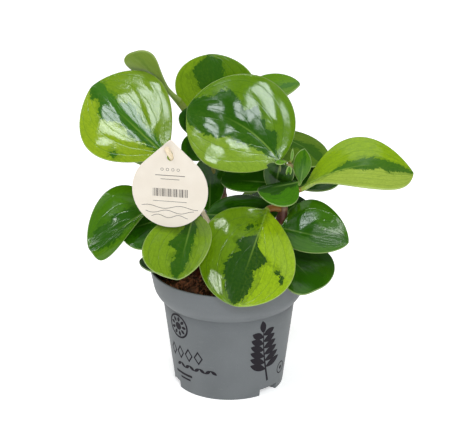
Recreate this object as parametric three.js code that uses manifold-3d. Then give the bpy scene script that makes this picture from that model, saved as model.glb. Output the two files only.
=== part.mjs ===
// Potted peperomia: a bushy plant with round fleshy leaves on three stems, in a tapered nursery pot,
// with a card tag on a wooden stick. Millimetres. +Z is up, -Y is the front, and the origin is the
// centre of the pot's flat underside.
import * as THREE from "three";
import { mergeVertices } from "three/addons/utils/BufferGeometryUtils.js";
import Module from "manifold-3d";

// Clearance between pieces that touch
const GAP = 0.35;

// Pot: radii of the outer face at the foot, below and above the curved shoulder, and at the rim
const POT = {
  height: 94, floor: 1.6, wall: 1.3, foot: 41.5, neck: 50.3, neckAt: 69, band: 57.6, bandAt: 81, rim: 60,
  chamfer: 0.7, sides: 40,
};
const SOIL = { level: 86, edge: 85, unevenness: 0.8, rings: 6 };

// Drainage: notches in the bottom edge, at degrees from the front towards +X, and holes in the floor
const NOTCH = { angles: [46.5, -75, 166], width: 25, height: 5.4, inner: 28, beyond: 62, skin: 1.2 };
const DRAIN = { count: 6, ring: 19, radius: 3, turn: 15 };

// Stems: points on their centre lines, from the root ball upwards
const STEM = { radius: 2.8, steps: 10, sides: 10 };
const STEMS = {
  stem_right: [[22, -4, 62], [26, -6, 85], [33, -9, 110], [39, -12, 135], [43, -14, 165], [45, -14, 182]],
  stem_left: [[-19, 0, 62], [-22, -1, 85], [-26, -2, 110], [-34, -3, 140], [-42, -2, 165], [-46, -2, 186]],
  stem_back: [[1, 27, 62], [-1, 29, 85], [-3, 30, 110], [-5, 30, 150], [-8, 30, 180], [-10, 30, 200]],
};

// Leaves: each is one piece, a stalk that leaves the stem `on` at height `at` and a blade from `base`
// to `tip`. `face` is the way its upper side looks and `half` its half-width left and right of the
// midrib. `form` holds the outline's exponents for each side and `cup` the bend of each side in
// degrees, up towards the face or, below 0, back from it. `arch` and `sway` are how far the midrib bows
// out along the face and across it.
const ROUND = [[0.62, 0.48], [0.62, 0.48]];
const RELAXED = [-5, -5];
const LEAVES = {
  leaf_upper_left: {
    on: "stem_left", at: 172, base: [-46, -8, 184], tip: [-102, 14, 232], face: [0.05, -0.9, 0.42],
    half: [36, 38.5], form: [[1, 0.72], [0.92, 0.66]], arch: 2, tone: "lime",
  },
  leaf_upper_centre: {
    on: "stem_right", at: 172, base: [37, -16, 184], tip: [-31, 2, 219], face: [0, -0.9, 0.45],
    half: [38, 40], form: [[0.42, 0.33], [0.68, 0.84]], sway: 9, arch: 2, tone: "lime",
  },
  leaf_top_back: {
    on: "stem_back", at: 189, base: [-5, 34, 195], tip: [-16, 48, 246], face: [-0.1, -0.75, 0.65],
    half: [29.5, 31], form: [[0.6, 0.42], [0.5, 0.62]], arch: 1, tone: "lime",
  },
  leaf_top_right: {
    on: "stem_back", at: 181, base: [13, 50, 211], tip: [54, 48, 222], face: [0.1, -0.3, 0.95],
    half: [22, 14.5], form: [[0.43, 0.7], [0.6, 0.8]], tone: "lime",
  },
  leaf_top_left: {
    on: "stem_back", at: 194, base: [-38, 28, 216], tip: [-70, 14, 259], face: [0.4, 0.85, 0.35],
    half: [13, 16], form: [[2.6, 0.4], [1.6, 0.4]], tone: "lime",
  },
  leaf_mid_left: {
    on: "stem_left", at: 140, base: [-55, -8, 146], tip: [-104, -34, 121.5], face: [-0.25, -0.85, 0.45],
    half: [13.8, 29.5], form: [[1.6, 0.25], [0.4, 0.74]], cup: [-55, -5], tone: "dark",
  },
  leaf_under_left: {
    on: "stem_left", at: 118, base: [-52, -4, 132], tip: [-82, -14, 125], face: [0, -0.5, 0.85],
    half: [21, 22], tone: "dark",
  },
  leaf_front_left: {
    on: "stem_left", at: 126, base: [-26, -30, 148], tip: [-38, -78, 116], face: [0, -0.85, 0.5],
    half: [18, 30.5], form: [[0.52, 0.9], [0.6, 0.37]], cup: [15, -5], tone: "lime",
  },
  leaf_front_centre: {
    on: "stem_right", at: 146, base: [28, -18, 145], tip: [3, -69, 91], face: [0, -0.8, 0.6],
    half: [35, 39.3], form: [[0.8, 0.68], [0.39, 0.48]], arch: 2, tone: "lime",
  },
  leaf_mid_right: {
    on: "stem_right", at: 133, base: [39, -20, 132], tip: [88, -40, 130], face: [0.1, -0.75, 0.65],
    half: [28, 13], form: [[0.43, 0.72], [0.6, 0.6]], cup: [-10, -30], arch: 1.5, tone: "dark",
  },
  leaf_low_right: {
    on: "stem_right", at: 108, base: [42, -14, 108.5], tip: [67, -47, 95], face: [0.2, -0.5, 0.8],
    half: [27, 20.5], form: [[0.3, 0.5], [0.5, 0.24]], arch: 1, tone: "dark",
  },
  leaf_long_right: {
    on: "stem_right", at: 160, base: [57, -12, 162], tip: [136, -20, 176], face: [0, -0.25, 0.97],
    half: [34.3, 33], form: [[0.75, 0.82], [1.5, 0.62]], cup: [12, 12], arch: 12, tone: "lime",
  },
  leaf_back_right: {
    on: "stem_back", at: 172, base: [33, 36, 187], tip: [74, 22, 170], face: [0.1, -0.2, 0.9],
    half: [18.5, 18], tone: "dark",
  },
  leaf_inner_centre: {
    on: "stem_right", at: 152, base: [37, 0, 160], tip: [-6, 10, 159], face: [0, -0.7, 0.7],
    half: [9, 20], tone: "dark",
  },
  leaf_inner_low: {
    on: "stem_left", at: 118, base: [-17, 0, 134], tip: [27, 0, 140], face: [0, -0.5, 0.85],
    half: [18, 14], tone: "dark",
  },
  leaf_inner_left: {
    on: "stem_back", at: 120, base: [-15, 14, 132], tip: [-19, 21, 158], face: [0.2, -0.8, 0.5],
    half: [12, 12], tone: "dark",
  },
  leaf_inner_right: {
    on: "stem_right", at: 156, base: [53, 4, 155], tip: [79, 26, 161], face: [0, -0.3, 0.95],
    half: [17, 17], tone: "dark",
  },
  leaf_low_left: {
    on: "stem_left", at: 97, base: [-41, 3, 96], tip: [-64, -12, 96], face: [-0.2, -0.1, 0.98],
    half: [18, 18], arch: 1.5, tone: "dark",
  },
  leaf_small_right: {
    on: "stem_right", at: 126, base: [45, 4, 136], tip: [57, 18, 140], face: [0, -0.5, 0.85],
    half: [13, 13], tone: "dark",
  },
  leaf_shade_upper: {
    on: "stem_back", at: 174, base: [-15, 22, 189], tip: [-36, 25, 208], face: [-0.2, -0.8, 0.5],
    half: [9, 14], tone: "dark",
  },
  leaf_shade_middle: {
    on: "stem_back", at: 150, base: [-20, 10, 197], tip: [-31, 6, 178], face: [-0.2, -0.8, 0.5],
    half: [12, 10], tone: "dark",
  },
  leaf_rear_top: {
    on: "stem_back", at: 156, base: [5, 38, 158], tip: [9, 70, 174], face: [0.1, 0.5, 0.85],
    half: [27, 27], tone: "lime",
  },
  leaf_rear_left: {
    on: "stem_back", at: 138, base: [-18, 38, 138], tip: [-53, 60, 150], face: [-0.3, 0.4, 0.85],
    half: [22, 22], tone: "dark",
  },
  leaf_rear_right: {
    on: "stem_back", at: 126, base: [14, 38, 128], tip: [44, 64, 132], face: [0.3, 0.4, 0.85],
    half: [23, 23], tone: "lime",
  },
  leaf_rear_low: {
    on: "stem_back", at: 104, base: [-11, 40, 110], tip: [-26, 72, 107], face: [-0.2, 0.4, 0.85],
    half: [22, 22], tone: "dark",
  },
  leaf_rear_side: {
    on: "stem_left", at: 158, base: [-43, 12, 168], tip: [-74, 46, 179], face: [-0.3, 0.3, 0.85],
    half: [21, 21], tone: "lime",
  },
  leaf_rear_low_left: {
    on: "stem_left", at: 100, base: [-34, 18, 108], tip: [-62, 42, 98], face: [-0.4, 0.3, 0.85],
    half: [20, 20], tone: "dark",
  },
  leaf_young_upright: {
    on: "stem_right", at: 166, base: [53, -14, 166], tip: [56, -10, 192], face: [0.1, -0.95, 0.2],
    half: [7.4, 6.5], form: [[0.85, 0.66], [1.2, 1]], arch: 0.5, tone: "young",
  },
  leaf_young_folded: {
    on: "stem_right", at: 162, base: [50, -21, 169], tip: [21, -36, 168], face: [-0.1, -0.7, 0.7],
    half: [18, 8], form: [[0.5, 0.55], [0.5, 0.55]], cup: [5, -100], tone: "young",
  },
  leaf_young_behind: {
    on: "stem_right", at: 168, base: [35, -20.5, 178], tip: [34, -15, 159], face: [-0.1, -0.9, 0.4],
    half: [3, 12], form: [[0.5, 0.5], [0.3, 0.6]], tone: "young",
  },
  bud_leaf: {
    on: "stem_right", at: 180, base: [41, -18, 184.5], tip: [34, -22, 185], face: [0.1, -0.5, 0.8],
    half: [2.4, 2.4], form: [[0.5, 0.5], [0.5, 0.5]], arch: 0.2, tone: "young",
  },
  bud_rolled: {
    on: "stem_right", at: 173, base: [43.5, -20.5, 175], tip: [44.6, -22, 182.5], face: [0, -1, 0.2],
    half: [2.6, 2.6], form: [[0.5, 0.5], [0.5, 0.5]], cup: [70, 70], arch: 0.2, tone: "young",
  },
  bud_spike: {
    on: "stem_right", at: 182, base: [46.3, -14, 185], tip: [47, -14, 194], face: [0, -1, 0],
    half: [1.3, 1.3], form: [[0.4, 0.8], [0.4, 0.8]], arch: 0.2, tone: "young",
  },
};
// A leaf's stalk radius and blade thickness, and how many sides and blade sections its solid has
const BUILD = {
  lime: { stalk: 1.6, thick: 1.8, sides: 10, sections: 11 },
  dark: { stalk: 1.6, thick: 1.8, sides: 10, sections: 11 },
  young: { stalk: 0.9, thick: 1.3, sides: 8, sections: 6 },
};
// The stalk's curve runs straight for this part of its length at each end
const STALK = { steps: 3, straight: 0.35 };
// Where the blade's first and last full sections lie, as parts of the half turn that spaces them
const SECTIONS = { first: 0.12, last: 0.965 };

// Card tag, a teardrop hung on the stick: leaning back and rolled clockwise, in degrees
const TAG = {
  centre: [-43, -46, 173.3], radius: 28.2, point: 38.5, blunt: 1.2, thick: 0.6, lean: 5, roll: 10.8,
  hole: 24.6, holeRadius: 2.5, stickAt: 26.3,
};
const STICK = { foot: [15, 25, 60], radius: 1.8, beyond: 8, pointed: 6, tip: 0.6, bevel: 0.5, sides: 12 };

const FINISH = {
  pot: { color: 0x737d80, roughness: 0.5, metalness: 0 },
  soil: { color: 0x3a2a20, roughness: 0.95, metalness: 0 },
  stem: { color: 0x7a3b32, roughness: 0.5, metalness: 0 },
  lime: { color: 0x8db33a, roughness: 0.35, metalness: 0 },
  dark: { color: 0x35651f, roughness: 0.35, metalness: 0 },
  young: { color: 0x5b8a2c, roughness: 0.35, metalness: 0 },
  card: { color: 0xf1ebdf, roughness: 0.85, metalness: 0 },
  wood: { color: 0xd9c08c, roughness: 0.65, metalness: 0 },
};

const wasm = await Module();
wasm.setup();
const { degToRad } = THREE.MathUtils;
const vector = (point) => new THREE.Vector3(...point);
const AXIS = vector([0, 1, 0]);
const UP = vector([0, 0, 1]);

function piece(geometry, finish) {
  return new THREE.Mesh(geometry, new THREE.MeshStandardMaterial(FINISH[finish]));
}

// The part of a direction that is at right angles to another, one unit long.
function squared(direction, to) {
  return direction.clone().addScaledVector(to, -direction.dot(to)).normalize();
}

// Cutting
function solidOf(mesh) {
  mesh.updateWorldMatrix(true, false);
  const plain = new THREE.BufferGeometry();
  plain.setAttribute("position", mesh.geometry.getAttribute("position").clone());
  plain.setIndex(mesh.geometry.index);
  const merged = mergeVertices(plain.applyMatrix4(mesh.matrixWorld), 1e-3);
  const vertProperties = merged.getAttribute("position").array;
  const triVerts = new Uint32Array(merged.index.array);
  return new wasm.Manifold(new wasm.Mesh({ numProp: 3, vertProperties, triVerts }));
}

// Takes the tools out of a mesh, which keeps its place and turn.
function cut(mesh, tools) {
  const left = tools.reduce((solid, tool) => solid.subtract(solidOf(tool)), solidOf(mesh));
  const { vertProperties, triVerts } = left.getMesh();
  mesh.geometry = new THREE.BufferGeometry();
  mesh.geometry.setAttribute("position", new THREE.BufferAttribute(vertProperties, 3));
  mesh.geometry.setIndex(new THREE.BufferAttribute(triVerts, 1));
  mesh.geometry.applyMatrix4(mesh.matrixWorld.clone().invert());
  mesh.geometry.computeVertexNormals();
  return mesh;
}

// Pot and soil
function turned(path, finish) {
  const mesh = piece(new THREE.LatheGeometry(path.getPoints(4), POT.sides), finish);
  mesh.rotation.x = Math.PI / 2;
  return mesh;
}

// A pot wall's outline, `inset` inside the outer face, from the axis at `bottom` up to the band.
function wallLine(inset, bottom) {
  const line = new THREE.Path();
  const lift = inset / 2;
  line.moveTo(0, bottom);
  line.lineTo(POT.foot - inset, bottom);
  line.lineTo(POT.neck - inset, POT.neckAt + lift);
  line.bezierCurveTo(
    POT.neck + 0.5 - inset, POT.neckAt + 2.5 + lift,
    POT.band - 1.3 - inset, POT.bandAt - 7.5 + lift,
    POT.band - inset, POT.bandAt + lift,
  );
  return line;
}

// The radius of the band's outer face at a height.
function bandRadius(height) {
  return POT.band + ((POT.rim - POT.band) * (height - POT.bandAt)) / (POT.height - POT.bandAt);
}

function outerLine() {
  const line = wallLine(0, 0);
  line.lineTo(POT.rim, POT.height - POT.chamfer);
  line.lineTo(POT.rim - POT.chamfer / 2, POT.height);
  line.lineTo(0, POT.height);
  return line;
}

function cavityLine() {
  const line = wallLine(POT.wall, POT.floor);
  const over = POT.height + 2;
  line.lineTo(bandRadius(over) - POT.wall, over);
  line.lineTo(0, over);
  return line;
}

function soilLine() {
  const line = wallLine(POT.wall + GAP, POT.floor + GAP);
  const edge = bandRadius(SOIL.edge) - POT.wall - 2 * GAP;
  line.lineTo(edge, SOIL.edge);
  for (let k = 1; k <= SOIL.rings; k++) {
    line.lineTo(edge * (1 - k / SOIL.rings), SOIL.level + SOIL.unevenness * Math.cos(2.3 * k));
  }
  return line;
}

// The blocks that make the notches, or with `grow` the wider ones that keep the cavity off them.
function notchBlocks(grow) {
  const wider = grow / NOTCH.inner;
  return NOTCH.angles.map((angle) => {
    const from = degToRad(angle - 90 - NOTCH.width / 2) - wider;
    const to = degToRad(angle - 90 + NOTCH.width / 2) + wider;
    const shape = new THREE.Shape();
    shape.absarc(0, 0, NOTCH.beyond, from, to, false);
    shape.absarc(0, 0, NOTCH.inner - grow, to, from, true);
    const depth = 2 * (NOTCH.height + grow);
    const settings = { depth, bevelEnabled: false, curveSegments: 3 };
    const block = piece(new THREE.ExtrudeGeometry(shape, settings), "pot");
    block.position.z = -depth / 2;
    return block;
  });
}

function drainHoles() {
  return Array.from({ length: DRAIN.count }, (_, k) => {
    const angle = degToRad(DRAIN.turn + (360 * k) / DRAIN.count);
    const hole = piece(new THREE.CylinderGeometry(DRAIN.radius, DRAIN.radius, 4 * POT.floor, 16), "pot");
    hole.position.set(DRAIN.ring * Math.cos(angle), DRAIN.ring * Math.sin(angle), 0);
    hole.rotation.x = Math.PI / 2;
    return hole;
  });
}

function potPiece() {
  const cavity = cut(turned(cavityLine(), "pot"), notchBlocks(NOTCH.skin));
  return cut(turned(outerLine(), "pot"), [cavity, ...notchBlocks(0), ...drainHoles()]);
}

// Stems
const stemLines = Object.fromEntries(Object.entries(STEMS).map(([name, points]) =>
  [name, new THREE.CatmullRomCurve3(points.map(vector), false, "catmullrom", 0.5)]));

function stemPiece(line, grow = 0) {
  const section = new THREE.Shape().absarc(0, 0, STEM.radius + grow, 0, 2 * Math.PI, false);
  const settings = { steps: STEM.steps, extrudePath: line, curveSegments: STEM.sides / 2 };
  return piece(new THREE.ExtrudeGeometry(section, settings), "stem");
}

// Clearance under a stem's foot.
function footRoom(line) {
  const wide = STEM.radius + GAP;
  const room = piece(new THREE.CylinderGeometry(wide, wide, 2 * GAP, STEM.sides), "stem");
  room.position.copy(line.getPoint(0));
  room.quaternion.setFromUnitVectors(AXIS, line.getTangent(0));
  return room;
}

// Where a stem's centre line passes a height, and its direction there.
function stemAt(line, height) {
  let low = 0;
  let high = 1;
  for (let i = 0; i < 30; i++) {
    const middle = (low + high) / 2;
    if (line.getPoint(middle).z < height) {
      low = middle;
    } else {
      high = middle;
    }
  }
  return { centre: line.getPoint(low), way: line.getTangent(low) };
}

// Leaves, in a frame of their own: the blade starts at the origin, +Y runs along the midrib to the
// tip, +Z is the upper side and +X the right side.
function outline(u, [a, b]) {
  const peak = (a / (a + b)) ** a * (b / (a + b)) ** b;
  return (u ** a * Math.max(1 - u, 0) ** b) / peak;
}

// A point of the blade's middle surface and its normal: u from base to tip, s from -1 to 1 across.
function bladeAt(leaf, u, s) {
  const { span, arch = 1, sway = 0, cup = RELAXED, form = ROUND } = leaf;
  const side = s < 0 ? 0 : 1;
  const sign = s < 0 ? -1 : 1;
  const bow = 4 * u * (1 - u);
  const slope = 4 * (1 - 2 * u);
  const way = vector([sway * slope, span, arch * slope]).normalize();
  const up = squared(UP, way);
  const across = way.clone().cross(up);
  const out = Math.abs(s) * leaf.half[side] * outline(u, form[side]);
  const bend = degToRad(cup[side]) / leaf.half[side];
  const point = vector([sway * bow, u * span, arch * bow]);
  point.addScaledVector(across, (sign * Math.sin(bend * out)) / bend);
  point.addScaledVector(up, (1 - Math.cos(bend * out)) / bend);
  const normal = up.multiplyScalar(Math.cos(bend * out));
  normal.addScaledVector(across, -sign * Math.sin(bend * out));
  return { point, normal };
}

// A ring of points round a centre, across the direction `way`, pressed flatter along `up`.
function ring(centre, way, up, radius, sides, flat = 1) {
  const high = squared(up, way);
  const wide = way.clone().cross(high);
  return Array.from({ length: sides }, (_, k) => {
    const angle = (2 * Math.PI * k) / sides;
    const point = centre.clone().addScaledVector(wide, radius * Math.cos(angle));
    return point.addScaledVector(high, radius * flat * Math.sin(angle));
  });
}

// A closed skin over rings of points, with a fan over each end.
function skin(rings) {
  const sides = rings[0].length;
  const ends = [rings[0], rings.at(-1)].map((end) =>
    end.reduce((sum, point) => sum.add(point), vector([0, 0, 0])).divideScalar(sides));
  const index = [];
  const start = rings.length * sides;
  for (let j = 0; j < sides; j++) {
    const next = (j + 1) % sides;
    for (let i = 0; i + 1 < rings.length; i++) {
      const [a, b] = [i * sides + j, i * sides + next];
      index.push(a, a + sides, b + sides, a, b + sides, b);
    }
    index.push(start, j, next, start + 1, start - sides + next, start - sides + j);
  }
  const geometry = new THREE.BufferGeometry().setFromPoints([...rings.flat(), ...ends]);
  geometry.setIndex(index);
  geometry.computeVertexNormals();
  return geometry;
}

// The stalk's rings, along a curve from its start at the stem to the blade's base.
function stalkRings(leaf, start, leave, { stalk, sides }) {
  const way = bladeAt(leaf, 0.04, 0).point.normalize();
  const reach = STALK.straight * start.length();
  const curve = new THREE.CubicBezierCurve3(
    start, start.clone().addScaledVector(leave, reach), way.multiplyScalar(-reach), vector([0, 0, 0]));
  return Array.from({ length: STALK.steps }, (_, i) => {
    const t = i / STALK.steps;
    return ring(curve.getPoint(t), curve.getTangent(t), UP, stalk, sides);
  });
}

// The blade's rings: round where it is narrower than the stalk, and across its full width elsewhere.
function bladeRings(leaf, { stalk, thick, sides, sections }) {
  const { form = ROUND } = leaf;
  const stops = [0];
  for (let i = 0; i < sections; i++) {
    const turn = SECTIONS.first + ((SECTIONS.last - SECTIONS.first) * i) / (sections - 1);
    stops.push(0.5 - 0.5 * Math.cos(turn * Math.PI));
  }
  return stops.map((u) => {
    const narrow = Math.min(...[0, 1].map((side) => leaf.half[side] * outline(u, form[side])));
    if (narrow < stalk) {
      const { point, normal } = bladeAt(leaf, u, 0);
      const way = bladeAt(leaf, u + 0.01, 0).point.sub(point).normalize();
      return ring(point, way, normal, stalk, sides, Math.min(1, (0.8 * thick) / stalk));
    }
    return Array.from({ length: sides }, (_, k) => {
      const angle = (2 * Math.PI * k) / sides;
      const { point, normal } = bladeAt(leaf, u, Math.cos(angle));
      return point.addScaledVector(normal, (Math.sin(angle) * thick) / 2);
    });
  });
}

function leafPiece({ base, tip, face, on, at, tone, ...shape }) {
  const mesh = piece(new THREE.BufferGeometry(), tone);
  const along = vector(tip).sub(vector(base));
  const leaf = { ...shape, span: along.length() };
  along.normalize();
  const up = squared(vector(face), along);
  mesh.quaternion.setFromRotationMatrix(new THREE.Matrix4().makeBasis(along.clone().cross(up), along, up));
  mesh.position.set(...base);

  const { centre, way } = stemAt(stemLines[on], at);
  const atEnd = at >= STEMS[on].at(-1)[2];
  const leave = atEnd ? way : squared(vector(base).sub(centre), way);
  const start = mesh.worldToLocal(centre.addScaledVector(leave, (atEnd ? 0 : STEM.radius) + GAP));
  leave.applyQuaternion(mesh.quaternion.clone().invert());
  mesh.geometry = skin([...stalkRings(leaf, start, leave, BUILD[tone]), ...bladeRings(leaf, BUILD[tone])]);
  return mesh;
}

// Tag and stick
function tagPiece() {
  const touch = Math.acos(TAG.radius / TAG.point);
  const shape = new THREE.Shape();
  shape.absarc(0, 0, TAG.radius, Math.PI / 2 - touch, -1.5 * Math.PI + touch, true);
  shape.lineTo(-TAG.blunt, TAG.point - TAG.blunt);
  shape.quadraticCurveTo(0, TAG.point, TAG.blunt, TAG.point - TAG.blunt);
  shape.holes.push(new THREE.Path().absarc(0, TAG.hole, TAG.holeRadius, 0, 2 * Math.PI, false));
  const card = new THREE.ExtrudeGeometry(shape, { depth: TAG.thick, bevelEnabled: false, curveSegments: 16 });
  const tag = piece(card.translate(0, 0, -TAG.thick / 2), "card");
  tag.position.set(...TAG.centre);
  tag.rotation.set(degToRad(90 - TAG.lean), 0, degToRad(-TAG.roll));
  return tag;
}

// The stick runs from its foot in the soil through a point of the tag's hole and a little beyond.
function stickPiece(through, grow = 0) {
  const line = through.clone().sub(vector(STICK.foot));
  const long = line.length() + STICK.beyond;
  const wide = STICK.radius + grow;
  const profile = new THREE.Path();
  profile.moveTo(0, -grow);
  profile.lineTo(STICK.tip + grow, -grow);
  profile.lineTo(wide, STICK.pointed);
  profile.lineTo(wide, long - STICK.bevel);
  profile.lineTo(wide - STICK.bevel, long + grow);
  profile.lineTo(0, long + grow);
  const stick = piece(new THREE.LatheGeometry(profile.getPoints(), STICK.sides), "wood");
  stick.quaternion.setFromUnitVectors(AXIS, line.normalize());
  stick.position.set(...STICK.foot);
  return stick;
}

// The object: a group for each stem with its leaves, one for the pot with its soil, one for the tag
function named(name, mesh) {
  mesh.name = name;
  return mesh;
}

const root = named("potted_peperomia", new THREE.Group());
for (const [name, line] of Object.entries(stemLines)) {
  const branch = new THREE.Group();
  const leaves = Object.entries(LEAVES).filter(([, leaf]) => leaf.on === name);
  branch.add(named(name, stemPiece(line)));
  branch.add(...leaves.map(([leafName, leaf]) => named(leafName, leafPiece(leaf))));
  root.add(branch);
}

const tag = tagPiece();
const through = tag.localToWorld(vector([0, TAG.stickAt, 0]));
const bores = Object.values(stemLines).flatMap((line) => [stemPiece(line, GAP), footRoom(line)]);
const stickBore = stickPiece(through, GAP);
const soil = cut(turned(soilLine(), "soil"), [...notchBlocks(NOTCH.skin + GAP), ...bores, stickBore]);

const container = new THREE.Group();
container.add(named("pot", potPiece()), named("potting_soil", soil));
const label = new THREE.Group();
label.add(named("plant_tag", cut(tag, [stickBore])), named("tag_stick", stickPiece(through)));
root.add(container, label);

export default root;
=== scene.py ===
# %% [markdown]
# A potted peperomia, made to look real.
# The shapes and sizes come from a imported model, which is loaded first and never moved.
# Each step then gives one kind of piece its fine surface and its finish: the pot, the soil, the stems,
# the leaves, and the card tag with its stick. Lengths are in millimetres until a mesh is made.

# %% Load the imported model
import math

import bmesh
import bpy
import numpy as np
from mathutils import Euler, Matrix, Vector


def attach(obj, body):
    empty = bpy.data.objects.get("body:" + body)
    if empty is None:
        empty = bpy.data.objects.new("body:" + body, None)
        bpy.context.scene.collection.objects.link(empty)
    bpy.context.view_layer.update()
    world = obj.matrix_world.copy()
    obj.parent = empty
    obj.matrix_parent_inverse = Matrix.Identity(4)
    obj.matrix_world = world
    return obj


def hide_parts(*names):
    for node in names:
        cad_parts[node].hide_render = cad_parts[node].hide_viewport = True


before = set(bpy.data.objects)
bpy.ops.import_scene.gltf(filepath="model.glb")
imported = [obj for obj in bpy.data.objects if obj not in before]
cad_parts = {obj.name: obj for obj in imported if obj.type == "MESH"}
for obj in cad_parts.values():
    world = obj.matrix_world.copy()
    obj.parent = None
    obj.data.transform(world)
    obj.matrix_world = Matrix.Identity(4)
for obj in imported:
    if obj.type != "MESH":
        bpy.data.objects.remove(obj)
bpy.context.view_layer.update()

# %% [markdown]
# Every piece is made in the same way: numbers for its points and faces, one mesh in metres, one
# material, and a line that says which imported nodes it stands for. Small helpers do that, so that
# each step below holds only what is special about its piece.

# %% Helpers that make a piece
MM = 0.001


def in_scene(name, data):
    """A new object in the scene, with these data."""
    made = bpy.data.objects.new(name, data)
    bpy.context.scene.collection.objects.link(made)
    return made


def mesh_object(name, points, faces, smooth=True, values=None):
    """A mesh object from points in millimetres, with optional values stored on its points."""
    mesh = bpy.data.meshes.new(name)
    mesh.from_pydata((np.asarray(points, float) * MM).tolist(), [], faces)
    for key, numbers in (values or {}).items():
        numbers = np.asarray(numbers, np.float32)
        kind, field = ("FLOAT", "value") if numbers.ndim == 1 else ("FLOAT_VECTOR", "vector")
        mesh.attributes.new(key, kind, "POINT").data.foreach_set(field, numbers.ravel())
    mesh.validate()
    mesh.polygons.foreach_set("use_smooth", [smooth] * len(mesh.polygons))
    return in_scene(name, mesh)


def dress(piece, material):
    """The piece wears this material only."""
    piece.data.materials.clear()
    piece.data.materials.append(material)


def finished(piece, slot, *nodes, material=None):
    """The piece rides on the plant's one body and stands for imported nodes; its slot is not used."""
    if material:
        dress(piece, material)
    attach(piece, "root")
    if nodes:
        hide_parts(*nodes)
    return piece


def as_mesh(made):
    """What the object's curve or modifiers make, as a mesh of its own."""
    return bpy.data.meshes.new_from_object(made.evaluated_get(bpy.context.evaluated_depsgraph_get()))


def baked(made):
    """The object with its modifiers made into its mesh."""
    shape = as_mesh(made)
    made.modifiers.clear()
    made.data = shape
    return made


def unit_rows(v):
    v = np.asarray(v, float)
    return v / np.linalg.norm(v, axis=-1, keepdims=True)


def full_turn(sides):
    return np.arange(sides) * math.tau / sides


def closed_faces(count, sides):
    """Faces over rings of points, and a fan at each end; the two end points come after the rings."""
    faces = []
    for j in range(sides):
        k, last = (j + 1) % sides, (count - 1) * sides
        faces += [(i * sides + j, i * sides + k, (i + 1) * sides + k, (i + 1) * sides + j)
                  for i in range(count - 1)]
        faces += [(count * sides, k, j), (count * sides + 1, last + j, last + k)]
    return faces


# %% [markdown]
# A material is a chain of nodes. These helpers place a node, set its sockets from left to right and
# join what is handed in, so that a material reads as a list of steps. A socket knows its tree, so
# most of them need only the values.

# %% Helpers that wire a material
def paint(colour):
    """A screen colour from 0 to 255 as the linear colour that a shader takes."""
    parts = [c / 255 for c in colour]
    return (*[c / 12.92 if c <= 0.04045 else ((c + 0.055) / 1.055) ** 2.4 for c in parts], 1)


def is_socket(value):
    return isinstance(value, bpy.types.NodeSocket)


def join(value, socket):
    if is_socket(value):
        socket.id_data.links.new(value, socket)
    elif value is not None:
        socket.default_value = value


def node(tree, kind, *values, **settings):
    """A new node with its settings, and its first sockets set or joined."""
    made = tree.nodes.new(kind)
    for key, value in settings.items():
        setattr(made, key, value)
    for socket, value in zip(made.inputs, values):
        join(value, socket)
    return made


def beside(kind, *values, **settings):
    """A node in the tree of the first socket among its values."""
    return node(next(v for v in values if is_socket(v)).id_data, kind, *values, **settings)


def maths(operation, *values):
    return beside("ShaderNodeMath", *values, operation=operation).outputs[0]


def times(a, b, more=None):
    """a times b, plus more where it is given."""
    return maths("MULTIPLY", a, b) if more is None else maths("MULTIPLY_ADD", a, b, more)


def less(a, b):
    return maths("SUBTRACT", a, b)


def vectors(operation, *values, output=0):
    return beside("ShaderNodeVectorMath", *values, operation=operation).outputs[output]


def step(value, low, high, start=0.0, end=1.0):
    """A soft step: start below low, end above high."""
    made = beside("ShaderNodeMapRange", value, low, high, start, end, interpolation_type="SMOOTHSTEP")
    return made.outputs[0]


def mixed(amount, below, above):
    """A mix of two colours, each a socket or a screen colour."""
    tree = next(v for v in (amount, below, above) if is_socket(v)).id_data
    made = node(tree, "ShaderNodeMix", amount, data_type="RGBA")
    for index, value in ((6, below), (7, above)):
        join(value if is_socket(value) else paint(value), made.inputs[index])
    return made.outputs[2]


def cloud(where, scale, detail=2.0, rough=0.5):
    """Soft noise from 0 to 1 round 0.5; three numbers as its scale stretch it."""
    if isinstance(scale, tuple):
        where, scale = vectors("MULTIPLY", where, scale), 1
    made = beside("ShaderNodeTexNoise", where)
    for key, value in (("Scale", scale), ("Detail", detail), ("Roughness", rough)):
        made.inputs[key].default_value = value
    return made.outputs[0]


def on_object(tree):
    return node(tree, "ShaderNodeTexCoord").outputs["Object"]


def stored(tree, key, output="Fac"):
    return node(tree, "ShaderNodeAttribute", attribute_name=key).outputs[output]


def new_material(name, roughness=0.5, specular=0.5):
    """A material with its Principled BSDF; uniform values are set on the shader's own sockets."""
    made = bpy.data.materials.new(name)
    made.use_nodes = True
    shader = made.node_tree.nodes["Principled BSDF"].inputs
    shader["Roughness"].default_value = roughness
    shader["Specular IOR Level"].default_value = specular
    return made, made.node_tree, shader


def bump(height, normal_socket, strength=1.0):
    """A height in millimetres becomes a bent normal."""
    made = node(normal_socket.id_data, "ShaderNodeBump", strength, MM)
    join(height, made.inputs["Height"])
    join(made.outputs[0], normal_socket)


def new_group(name, inputs, outputs):
    """A shader group with named float or colour sockets. Returns the tree, its inputs and its end."""
    tree = bpy.data.node_groups.new(name, "ShaderNodeTree")
    kinds = {float: "NodeSocketFloat", tuple: "NodeSocketColor"}
    for key, value in inputs.items():
        made = tree.interface.new_socket(key, in_out="INPUT", socket_type=kinds[type(value)])
        made.default_value = value
    for key, kind in outputs.items():
        tree.interface.new_socket(key, in_out="OUTPUT", socket_type=kinds[kind])
    return tree, tree.nodes.new("NodeGroupInput").outputs, tree.nodes.new("NodeGroupOutput").inputs


def group_in(tree, group, **values):
    made = node(tree, "ShaderNodeGroup", node_tree=group)
    for key, value in values.items():
        join(value, made.inputs[key])
    return made.outputs


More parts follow.
